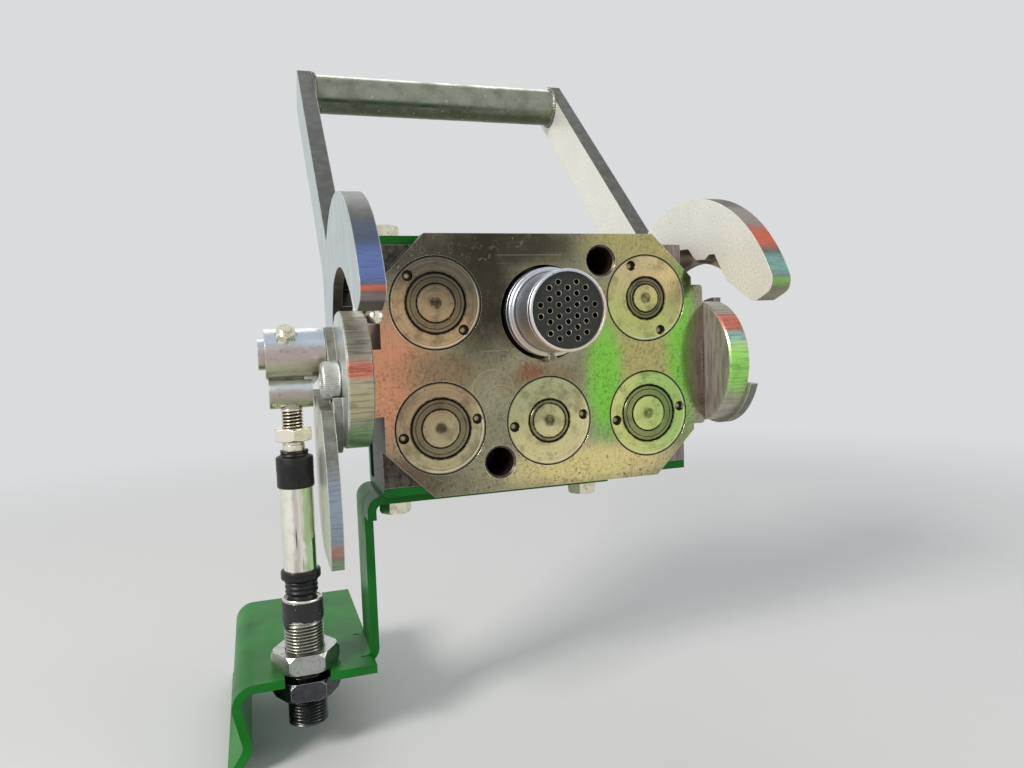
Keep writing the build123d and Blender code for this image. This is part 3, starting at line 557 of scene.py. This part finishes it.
head, socket = knurl(8.5, 0.35, 60), hexagon(8.0)
for name, side in (("left", -1), ("right", 1)):
    profile = [
        (0, 62.2), (4.6, 62.2), (5.0, 62.8), (5.0, 83.4), (6.3, 83.4), (6.5, 83.7), (6.5, 95.0), (7.9, 95.0),
        (8.1, 95.3), (head, 95.9), (head, 101.6), (8.1, 102.2), (7.6, 102.8), (7.1, 103.0), (5.0, 103.0),
        (socket, 102.6), (socket, 99.0), (0, 98.3),
    ]
    screw = turned([(radius, side * place) for radius, place in profile], pivot, 0, 360)
    node = f"pivot_screw_{name}"
    fitted(f"knurled_{node}", [screw], "base", "fastener_steel", screw_zinc, node)

disc_radius = 30.0
disc_steel = Finish("hub_disc_turned_steel")
radius = disc_steel.from_axis(pivot, 0)
face_rings = disc_steel.turning(radius, 0.5, 5.0)
rim_lines = disc_steel.cloud(0.8, 7.0, 2.0, (30, 1, 1))
on_rim = radius.rise(disc_radius - 0.9, disc_radius - 0.4)
outer_face = abs(disc_steel.x).rise(94.0, 94.5)
inner_streaks = disc_steel.cloud(2.0, 76.0, 4.0, (1, 1, 7)).rise(0.4, 0.65)
inner_tone = disc_steel.mix(inner_streaks, (0.36, 0.305, 0.285), (0.21, 0.175, 0.165))
tone = disc_steel.mix(on_rim, inner_tone, (0.44, 0.42, 0.34))
tone = disc_steel.mix(outer_face, tone, (0.74, 0.79, 0.76))
rim_drift = disc_steel.cloud(6, 75.0, 4.0, (3, 1, 1))

# The rim's painted reflections, which change colour with height. Columns: middle, half widths, colour,
# strength
rim_reflections = [
    ((-89, -78, 1), (12, 30, 4.5), (0.78, 0.16, 0.08), 0.8),
    ((-89, -76, -12), (12, 30, 10), (0.50, 0.46, 0.27), 0.85),
    ((-89, -64, -28), (12, 30, 9), (0.16, 0.34, 0.12), 0.8),
    ((89, -70, 15), (12, 30, 5), (0.80, 0.16, 0.10), 0.85),
    ((89, -76, 8), (12, 30, 3), (0.22, 0.42, 0.44), 0.8),
    ((89, -77, -7), (12, 30, 14), (0.34, 0.80, 0.12), 0.9),
]
for place, reach, colour, strength in rim_reflections:
    tone = disc_steel.mix(on_rim * disc_steel.patch(place, reach, rim_drift, 0.4) * strength, tone, colour)
tone = disc_steel.mix(on_rim * rim_lines.rise(0.48, 0.64) * 0.45, tone, (0.06, 0.055, 0.045))
patina = disc_steel.cloud(9, 72.0, 5.0).rise(0.45, 0.7)
tone = disc_steel.mix(patina * 0.3, tone, (0.12, 0.105, 0.09))
rim_stain = on_rim * disc_steel.cloud(5, 74.0, 5.0, (2.5, 1, 1)).rise(0.56, 0.66)
tone = disc_steel.mix(rim_stain * 0.35, tone, grime)
# Painted edge highlights, and wear: near-white along the disc's sharp edges.
tone = disc_steel.mix(disc_steel.edge_wear_and_highlight(0.3) * 0.45, tone, (0.95, 0.92, 0.82))
inner_face = (1 - on_rim) * (1 - outer_face)
disc_steel.surface(tone, 0.28 + 0.16 * patina + 0.25 * inner_face, 1 - (0.5 * inner_face).most(0.35 * on_rim))
disc_steel.relief((1 - on_rim) * face_rings + on_rim * rim_lines, 0.03, 0.25)
dress(disc_steel, "hub_disc_left", "hub_disc_right")

# The lever's plates are cut from thick steel and zinc-plated: satin faces with a soft grain and near-white
# edge lines that are painted highlights and wear, and darker edges that still show the cutter's drag lines,
# with painted reflections in blue, red and olive bands.
def plated_plate(name, seed, light, grain, edge, painted_reflections, dullness, metal=1.0):
    """Cut and zinc-plated plate that lies across X, its grain drawn out along an axis."""
    zinc = Finish(name)
    facing = zinc.parts(zinc.add("ShaderNodeTexCoord", output="Normal"))[0]
    on_edge = abs(facing).rise(0.75, 0.45)
    drag = zinc.cloud(0.4, seed, 2.0, (22, 1, 1))
    drift = zinc.cloud(6, seed + 6, 4.0, (3, 1, 1))
    streaks = zinc.cloud(0.9, seed + 1, 4.0, grain)
    cloudy = zinc.cloud(20, seed + 3, 5.0).rise(0.35, 0.7)
    tone = zinc.mix(streaks.rise(0.35, 0.65), [part * 0.8 for part in light], light)
    tone = zinc.mix(cloudy * 0.4, tone, [part * 0.8 for part in (light[0], light[1], light[2] * 1.04)])
    tone = zinc.mix(zinc.specks(1.6, seed + 4, 0.0) * 0.5, tone, (0.16, 0.15, 0.12))
    edge_tone = zinc.mix(zinc.cloud(6, seed + 5, 4.0).rise(0.3, 0.7), [part * 0.55 for part in edge], edge)
    for middle, reach, colour, strength in painted_reflections:
        edge_tone = zinc.mix(zinc.patch(middle, reach, drift, 0.4) * strength, edge_tone, colour)
    edge_tone = zinc.mix(drag.rise(0.45, 0.7) * 0.42, edge_tone, (0.06, 0.058, 0.048))
    # Painted shade: the face of the relief cut, a step inside each plate, is brownish.
    recess_shade = (abs(zinc.x).rise(86.5, 87.2) * abs(zinc.x).rise(89.5, 89.0)) * (1 - on_edge)
    tone = zinc.mix(recess_shade, tone, (0.34, 0.27, 0.21))
    tone = zinc.mix(on_edge, tone, edge_tone)
    # Painted edge highlights, and wear: near-white along the plate's sharp edges.
    tone = zinc.mix(zinc.edge_wear_and_highlight(0.6) * 0.8, tone, (0.96, 0.94, 0.84))
    zinc.surface(tone, dullness + 0.12 * streaks + 0.1 * on_edge, (1 - on_edge) * metal + on_edge * 0.6)
    return zinc.relief((1 - on_edge) * streaks * 0.4 + on_edge * drag, 0.02, 0.35)


blue, red, foot_olive = (0.13, 0.20, 0.46), (0.72, 0.16, 0.09), (0.17, 0.21, 0.10)

# Columns of each plate's painted reflections: middle, half widths, colour, strength
left_reflections = [
    ((-88, -100, 52), (30, 24, 8), (0.08, 0.12, 0.19), 0.9),
    ((-88, -108, 41), (30, 24, 9), blue, 0.9),
    ((-88, -113, 31.8), (30, 10, 1.5), red, 0.85),
    ((-88, -112, 28.5), (30, 10, 2), (0.33, 0.27, 0.26), 0.8),
    ((-88, -110, 22), (30, 14, 5), foot_olive, 0.9),
    # Painted light on the wall of the slot
    ((-88, -45, 34), (30, 30, 26), (0.46, 0.39, 0.29), 0.9),
]
left_light, left_grain, left_edge = (0.66, 0.74, 0.73), (1, 3, 16), (0.12, 0.125, 0.118)
left_zinc = plated_plate("left_lever_zinc_plate", 81.0, left_light, left_grain, left_edge, left_reflections, 0.3)
dress(left_zinc, "lever_plate_left")
right_reflections = [
    ((88, -86, 63), (30, 20, 9), (0.42, 0.37, 0.33), 0.7),
    ((88, -97, 52), (30, 20, 6.5), red, 0.85),
    ((88, -106, 39.5), (30, 20, 6), (0.22, 0.44, 0.38), 0.85),
    ((88, -111, 31.5), (30, 20, 2.4), (0.26, 0.50, 0.13), 0.8),
    ((88, -112, 26), (30, 20, 4), (0.40, 0.37, 0.24), 0.8),
]
# The right plate's cream is painted sunlight, a lit copy of the same zinc plate as the left.
right_sunlit_tone, right_grain, right_edge = (0.99, 0.97, 0.88), (1, 1.2, 1.2), (0.17, 0.175, 0.16)
right_zinc = plated_plate(
    "right_lever_zinc_plate", 86.0, right_sunlit_tone, right_grain, right_edge, right_reflections, 0.4, 0.45
)
dress(right_zinc, "lever_plate_right")
# Painted reflections on the hub plates' edges
hub_reflections = [
    ((-100, -66, -58), (30, 30, 20), (0.30, 0.36, 0.44), 0.85),
    ((-100, -68, -74), (30, 30, 3.5), (0.50, 0.24, 0.16), 0.7),
    ((-100, -68, -81), (30, 30, 4), (0.24, 0.34, 0.22), 0.85),
]
hub_light, hub_grain, hub_edge = (0.78, 0.80, 0.70), (1, 2, 14), (0.26, 0.26, 0.23)
hub_zinc = plated_plate("hub_zinc_plate", 91.0, hub_light, hub_grain, hub_edge, hub_reflections, 0.32)
dress(hub_zinc, "hub_plate_left", "hub_plate_right", "tail_plate")

# The handle is a drawn steel bar, welded between the arms. Hands have rubbed it to dull spots, and it is
# painted darker underneath as shade.
bar_steel = Finish("handle_bar_steel")
drawn = bar_steel.cloud(0.7, 101.0, 2.0, (30, 1, 1))
dull = bar_steel.cloud(13, 102.0, 5.0).rise(0.4, 0.7)
bar_centre, bar_end = (0, 140.96, 173.87), 82.8
tone = bar_steel.mix(dull, (0.33, 0.35, 0.28), (0.20, 0.22, 0.165))
# Painted shade: darker on the underside of the bar.
underside_shade = (bar_steel.z - bar_centre[2] + bar_steel.cloud(9, 106.0) * 6).rise(0, -9)
tone = bar_steel.mix(underside_shade, tone, (0.085, 0.10, 0.055))
bar_specks = bar_steel.specks(2.0, 103.0, 0.05) * bar_steel.cloud(40, 104.0).rise(0.35, 0.6)
tone = bar_steel.mix(bar_specks * 0.5, tone, (0.66, 0.62, 0.46))
tone = bar_steel.mix(bar_steel.cloud(2.5, 105.0, 5.0).rise(0.6, 0.7) * 0.5, tone, grime)
bar_steel.surface(tone, 0.24 + 0.2 * dull)
bar_steel.relief(drawn, 0.018, 0.3)
dress(bar_steel, "handle_bar")

weld = Finish("handle_weld_steel")
scale = weld.cloud(1.2, 107.0, 4.0)
weld.surface(weld.mix(scale.rise(0.35, 0.65), (0.30, 0.29, 0.25), (0.12, 0.11, 0.09)), 0.34 + 0.2 * scale)
weld.relief(scale, 0.05)


def rippled(radius, depth, count):
    """A weld bead's radius by angle, rippled where each drop set."""
    return lambda angle: radius + depth * abs(math.sin(count * angle / 2))


drops = 46
for name, side in (("left", -1), ("right", 1)):
    profile = [
        (11.5, bar_end), (rippled(13.6, 0.3, drops), bar_end - 0.05),
        (rippled(13.2, 0.3, drops), bar_end - 0.9), (rippled(12.4, 0.2, drops), bar_end - 1.7),
        (11.7, bar_end - 2.2), (11.5, bar_end),
    ]
    bead = turned([(radius, side * place) for radius, place in profile], bar_centre, 0, 184)
    fitted(f"handle_weld_{name}", [bead], "lever", "bar_steel", weld)

# The rod end hangs on a crank pin through the left hub plate: a turned collar with a cross barrel under it,
# clamped by a set screw and its nut. All of it is zinc-plated steel, with painted reflections in bands down
# the collar.
collar_zinc = plated_fastener("collar_zinc", (0.70, 0.68, 0.58), 111.0)
drift = collar_zinc.cloud(5, 112.5, 4.0, (3, 1, 1)) * 4 - 2
collar_stain = collar_zinc.cloud(4, 113.5, 4.0).rise(0.35, 0.65)
tone = collar_zinc.mix(collar_stain, (0.62, 0.60, 0.52), (0.50, 0.48, 0.42))

# Columns of the painted reflections: height of a band's middle, its half height, colour, strength
reflection_bands = [
    (14.5, 3.5, (0.56, 0.66, 0.80), 0.8),
    (7.5, 4.0, (0.50, 0.40, 0.38), 0.7),
    (0.5, 4.0, (0.50, 0.49, 0.33), 0.8),
    (-6.5, 2.5, (0.64, 0.72, 0.76), 0.8),
    (-10.5, 2.5, (0.46, 0.38, 0.35), 0.7),
    (-15, 3.0, (0.36, 0.38, 0.25), 0.8),
]
for level, reach, colour, strength in reflection_bands:
    reflection_band = abs(collar_zinc.z + drift - level).rise(reach * 1.5, reach * 0.4)
    tone = collar_zinc.mix(reflection_band * strength, tone, colour)
collar_smears = collar_zinc.cloud(1.8, 111.5, 5.0, (3, 1, 1)).rise(0.58, 0.68)
tone = collar_zinc.mix(collar_smears * 0.5, tone, (0.14, 0.12, 0.09))
# Painted edge highlights, and wear: near-white along the collar's sharp edges.
tone = collar_zinc.mix(collar_zinc.edge_wear_and_highlight(0.6) * 0.7, tone, (0.98, 0.94, 0.82))
collar_zinc.surface(tone, 0.32)
dress(collar_zinc, "rod_end_collar", "crank_pin")
dress(plated_fastener("set_screw_zinc", (0.90, 0.86, 0.70), 115.0, 0.3), "set_screw")

# The cable's rod is zinc-plated steel, with a rolled metric thread, a jam nut, and a plain end that slides
# into the seal. It is screwed up into the rod end's cross barrel.
cable_centre = (-114.6, -25.3, 0)
rod_radius, thread_pitch = 5.0, 1.5
rod_zinc = Finish("cable_rod_zinc")
wear = rod_zinc.cloud(2.5, 117.0, 5.0).rise(0.42, 0.7)
from_rod_axis = rod_zinc.from_axis(cable_centre, 2)
# Painted shade: the rod goes dark where it is narrower than its full radius, in the thread's roots and over
# the narrower head.
groove_shade = from_rod_axis.rise(rod_radius - 0.15, rod_radius - 0.65) * rod_zinc.z.rise(-34, -33.5)
tone = rod_zinc.mix(wear * 0.5, (0.90, 0.85, 0.72), (0.48, 0.42, 0.34))
tone = rod_zinc.mix(groove_shade, tone, (0.05, 0.035, 0.022))
rod_zinc.surface(tone, 0.26 + 0.2 * wear)
rod_zinc.relief(wear, 0.01, 0.15)


def threaded(radius, pitch, top, foot, centre, steps=8, sides=64):
    """A threaded length of a bar that stands on Z: its points and faces, in millimetres."""
    depth, turns = 0.55 * pitch, (top - foot) / pitch
    profile = []
    for row in range(int(turns * steps) + 1):
        place = top - row * pitch / steps
        fade = min(1, (top - place) / pitch, (place - foot) / pitch)

        def ridge(angle, place=place, fade=fade):
            phase = (place / pitch - angle / (2 * math.pi)) % 1
            return radius - depth * max(0, min(1, 1.35 * abs(2 * phase - 1) - 0.15)) * max(0, fade)
        profile.append((ridge, place))
    return turned([(0, top), *profile, (0, profile[-1][1])], centre, 2, sides)


rod_head = turned([(0, -9), (4.6, -9), (4.6, -17.4), (0, -17.4)], cable_centre, 2, 48)
rod_thread = threaded(rod_radius, thread_pitch, -17.2, -33.4, cable_centre)
shank_profile = [(0, -33.3), (4.7, -33.3), (rod_radius, -33.7), (rod_radius, -87.75), (0, -87.75)]
rod_shank = turned(shank_profile, cable_centre, 2, 64)
jam_nut = nut(16.0, 4.4, -25.85, -31.85, cable_centre, 2)
rod_shapes = [rod_head, rod_thread, rod_shank, jam_nut]
fitted("threaded_cable_rod", rod_shapes, "cable_rod", "fastener_steel", rod_zinc, "cable_rod")

# The cable's end: a moulded black rubber seal with a lip, a polished stainless tube, and a ribbed rubber
# boot over the ball that it tilts on.
rubber = Finish("seal_black_rubber")
bloom = rubber.cloud(4, 121.0, 5.0).rise(0.45, 0.75)
scuff = rubber.cloud(1.1, 123.0, 4.0, (1, 1, 6)).rise(0.6, 0.72)
tone = rubber.mix(bloom * 0.5, (0.006, 0.006, 0.007), (0.028, 0.026, 0.022))
tone = rubber.mix(scuff * 0.35, tone, (0.11, 0.10, 0.085))
rubber.surface(tone, 0.36 + 0.3 * bloom, 0.0, Specular_IOR_Level=0.35)
rubber.relief(rubber.cloud(0.8, 122.0, 3.0), 0.05, 0.3)
lip, lip_foot = knurl(6.3, 0.35, 7), knurl(6.5, 0.4, 5)
seal = turned([
    (5.1, -36.25), (lip, -36.25), (lip_foot, -37.2), (6.1, -37.8), (6.5, -38.5), (7.7, -38.95),
    (8.2, -39.25), (8.4, -39.9), (8.4, -43.0), (8.3, -47.0), (8.35, -51.6), (8.4, -52.4), (8.2, -53.0),
    (7.9, -53.25), (5.1, -53.25), (5.1, -36.25),
], cable_centre, 2)
fitted("moulded_seal", [seal], "cable_tube", "rubber_black", rubber, "rod_seal")
boot_profile = [
    (0, -91.75), (8.5, -91.75), (8.9, -92.1), (9.0, -92.6), (9.0, -95.2), (8.8, -95.7), (8.3, -95.95),
    (7.3, -96.1),
]
for top in (-96.3, -98.5, -100.7):
    boot_profile += [(6.9, top), (7.3, top - 0.4), (7.5, top - 0.9), (7.3, top - 1.5), (6.9, top - 1.9)]
boot_profile += [(6.8, -103.0), (6.05, -103.35)]
ball_radius, ball_centre = 6.8, -106.45
for step in range(1, 13):
    lean = math.radians(27 - step * 9.75)
    boot_profile.append((ball_radius * math.cos(lean), ball_centre + ball_radius * math.sin(lean)))
boot_profile[-1] = (0, ball_centre - ball_radius)
boot = turned(boot_profile, cable_centre, 2)
fitted("ribbed_boot", [boot], "cable_tube", "rubber_black", rubber, "rubber_boot")

polished = Finish("tube_polished_steel")
lengthwise = polished.cloud(0.7, 124.0, 2.0, (1, 1, 30))
smudge = polished.cloud(8, 125.0, 5.0).rise(0.4, 0.7)
tone = polished.mix(smudge * 0.3, (0.92, 0.91, 0.82), (0.50, 0.48, 0.40))
dark_lines = polished.cloud(1.3, 126.0, 2.0, (1, 1, 20)).rise(0.66, 0.7)
tone = polished.mix(dark_lines * 0.6, tone, (0.10, 0.10, 0.09))
tube_radius = 7.6
cable_x, cable_y, _ = cable_centre
# Painted reflections: a mauve band and a green band run down the tube, placed by the side of the tube they
# lie on.
across = (polished.x - cable_x) / tube_radius - (polished.y - cable_y) / tube_radius * 0.4 + smudge * 0.15
tone = polished.mix(abs(across - 0.25).rise(0.28, 0.05) * 0.55, tone, (0.44, 0.34, 0.38))
tone = polished.mix(abs(across - 0.88).rise(0.26, 0.08) * 0.6, tone, (0.30, 0.58, 0.16))
scrape = polished.patch((-116, -33, -76), (0.4, 3, 5.5), polished.cloud(1.5, 127.0, 4.0), 0.4)
tone = polished.mix(scrape * 0.8, tone, (0.04, 0.04, 0.035))
polished.surface(tone, 0.08 + 0.14 * smudge)
polished.relief(lengthwise, 0.008, 0.2)
dress(polished, "swivel_tube")

# The cable hub is a threaded steel sleeve, held in the slot of the bracket's shelf by one nut above and one
# below. A steel ring lies on it, a little askew, and black tape with torn edges is wound round its top.
hub_radius, hub_top, cavity_radius = 9.0, -105.65, 7.1
hub_metal = Finish("cable_hub_zinc")
stain = hub_metal.cloud(3, 131.0, 5.0).rise(0.42, 0.7)
from_hub_axis = hub_metal.from_axis(cable_centre, 2)
# Painted shade in the thread's roots.
groove_shade = from_hub_axis.rise(hub_radius - 0.15, hub_radius - 0.7) * hub_metal.z.rise(-115, -115.5)
tone = hub_metal.mix(stain * 0.5, (0.48, 0.47, 0.41), (0.27, 0.26, 0.22))
tone = hub_metal.mix(groove_shade * 0.9, tone, (0.05, 0.045, 0.032))
# Painted shadow: the thread goes near black below the shelf.
tone = hub_metal.mix((hub_metal.z + stain * 2).rise(-138, -142) * 0.88, tone, (0.035, 0.04, 0.045))
hub_metal.surface(tone, 0.26 + 0.2 * stain)
hub_metal.relief(stain, 0.01, 0.15)
cavity = []
for step in range(8):
    lean = math.radians(-90 + step * 12)
    cavity.append((max(0, cavity_radius * math.cos(lean)), ball_centre + cavity_radius * math.sin(lean)))
cavity.append((7.05, hub_top))
hub_profile = [*cavity, (8.6, hub_top), (8.9, hub_top - 0.3), (8.9, -115.3), (0, -115.3)]
hub_sleeve = turned(hub_profile, cable_centre, 2)
hub_thread = threaded(hub_radius, thread_pitch, -115.1, -163.55, cable_centre, 6, 72)
fitted("threaded_cable_hub", [hub_sleeve, hub_thread], "base", "fastener_steel", hub_metal, "cable_hub")
dress(plated_fastener("hub_nut_zinc", (0.47, 0.48, 0.45), 133.0, 0.4), "hub_nut")
# The lower nut's near-black tone is painted shade, a shaded copy of the nut above it.
dress(plated_fastener("lower_nut_steel", (0.08, 0.085, 0.095), 136.0, 0.3), "lower_nut")
ring_steel = plated_fastener("hub_ring_steel", (0.80, 0.78, 0.70), 138.0, 0.2)
points, faces = turned([
    (8.3, -105.0), (8.4, -104.7), (8.85, -104.7), (9.05, -105.0), (9.05, -105.7), (8.3, -105.7),
    (8.3, -105.0),
], cable_centre, 2)
askew, ring_middle = Matrix.Rotation(math.radians(3.0), 4, "Y"), Vector((cable_x, cable_y, -105.2))
points = [askew @ (Vector(point) - ring_middle) + ring_middle for point in points]
fitted("hub_ring", [(points, faces)], "base", "fastener_steel", ring_steel)
tape_black = Finish("hub_black_tape")
creases = tape_black.cloud(1.4, 139.0, 5.0)
glints = tape_black.cloud(1.0, 139.5, 4.0).rise(0.66, 0.70)
tone = tape_black.mix(glints, (0.008, 0.008, 0.009), (0.50, 0.50, 0.46))
tape_black.surface(tone, 0.26 + 0.3 * creases, 0.0)
tape_black.relief(creases, 0.25)


def torn_edge(middle, reach, seed):
    """A height by angle that wanders as torn tape does, with a flap that hangs at the left."""
    flap_length, flap_angle, flap_spread = 3.4, 3.6, 0.17

    def height(angle):
        wander = math.sin(3 * angle + seed) + 0.6 * math.sin(7 * angle + 2 * seed)
        wander += 0.4 * math.sin(17 * angle)
        return middle + reach * wander - flap_length * math.exp(-((angle - flap_angle) / flap_spread) ** 2)
    return height


tape_sides, torn_from, torn_length = 120, -110, 4.6
points, faces = turned([
    (8.9, -106.0), (9.35, -106.2), (9.5, -107.4), (9.3, -108.2), (9.55, -109.4), (9.35, -110.6),
    (9.5, -112.0), (9.5, -114.6), (8.9, -114.9), (8.9, -106.0),
], cable_centre, 2, tape_sides)
lower_edge = torn_edge(0.0, 0.45, 1.3)
for index, point in enumerate(points):
    share = max(0, min(1, (torn_from - point[2]) / torn_length))
    point[2] += share * lower_edge(2 * math.pi * (index % tape_sides) / tape_sides)
fitted("hub_tape", [(points, faces)], "base", "rubber_black", tape_black)

# The cable bracket is one folded steel sheet, bolted under the channel. Its shelf has an open slot for the
# cable's hub, and it has the same green paint as the channel, in another coat.
dress(green_paint("shelf_green_paint", 141.0), "cable_bracket")

# The studio: a floor of pale paper under the lowest edge, which fades into a surround of the same tone, and
# three soft lamps.
floor_spread, floor_fade = 12.0, (0.4, 1.15)
low, high = cad_box
bpy.ops.mesh.primitive_plane_add(size=floor_spread, location=(0, 0, low.z))
floor = bpy.context.object
floor.name = "studio_floor"
pale = Finish("studio_floor_paper")
paper_tone, surround_tone = (0.72, 0.72, 0.71), (0.70, 0.71, 0.72)
tone = pale.mix(pale.cloud(400, 151.0) * 0.5, paper_tone, [part * 0.97 for part in paper_tone])
pale.surface(tone, 0.75, 0.0, Specular_IOR_Level=0.0)
outward = pale.stretched(pale.place, (MM, MM, 0))
distance = pale.add("ShaderNodeVectorMath", {"operation": "LENGTH"}, {0: outward}, "Value")
glow = pale.add("ShaderNodeEmission", {}, {"Color": (*surround_tone, 1.0)})
blend = pale.add("ShaderNodeMixShader", {}, {0: distance.rise(*floor_fade), 2: glow})
pale.feed(blend.socket.node.inputs[1], Wire(pale, pale.shader.outputs[0]))
pale.feed(pale.nodes["Material Output"].inputs["Surface"], blend)
floor.data.materials.append(pale.material)

world = bpy.data.worlds.new("studio_surround")
bpy.context.scene.world = world
world.use_nodes = True
ambient_tone = (0.36, 0.37, 0.39)
surround = Mixing(world.node_tree)
ray = surround.add("ShaderNodeLightPath").socket.node.outputs
camera_ray, glossy_ray, clear_ray = [
    Wire(surround, ray[kind]) for kind in ("Is Camera Ray", "Is Glossy Ray", "Is Transmission Ray")
]
shade = surround.mix(camera_ray.most(glossy_ray).most(clear_ray), ambient_tone, surround_tone)
surround.feed(surround.nodes["Background"].inputs["Color"], shade)

# Columns: name, place and size in metres, power in watts, colour
lamps = [
    ("key_lamp", (-1.5, -0.9, 1.0), 0.6, 30.0, (1.0, 0.97, 0.92)),
    ("side_lamp", (1.3, -0.7, 0.5), 0.8, 5.0, (0.93, 0.96, 1.0)),
    ("back_lamp", (0.2, 1.2, 1.2), 1.1, 7.0, (1.0, 1.0, 1.0)),
]
middle = (low + high) / 2
for name, spot, size, power, colour in lamps:
    light = bpy.data.lights.new(name, "AREA")
    light.size, light.energy, light.color = size, power, colour
    lamp = bpy.data.objects.new(name, light)
    lamp.location = spot
    lamp.rotation_euler = (middle - Vector(spot)).to_track_quat("-Z", "Y").to_euler()
    bpy.context.scene.collection.objects.link(lamp)

# The camera stands where the photograph was taken from, to the left of the face and a little above its
# middle. Its place is in millimetres, and its turn, tilt and roll are in degrees.
camera_place = Vector((-130.2, -393.4, 14.8)) * MM
camera_turn, camera_tilt, camera_roll = -18.36, 86.048, -2.098
sensor_width, lens_length = 36.0, 27.33
camera = bpy.data.objects.new("camera", bpy.data.cameras.new("camera"))
camera.data.sensor_width, camera.data.lens = sensor_width, lens_length
camera.data.clip_start = 0.01
turn = Matrix.Rotation(math.radians(camera_turn), 4, "Z")
tilt = Matrix.Rotation(math.radians(camera_tilt), 4, "X")
roll = Matrix.Rotation(math.radians(camera_roll), 4, "Z")
camera.matrix_world = Matrix.Translation(camera_place) @ turn @ tilt @ roll
bpy.context.scene.collection.objects.link(camera)
bpy.context.scene.camera = camera
bpy.context.scene.view_settings.view_transform = "Standard"
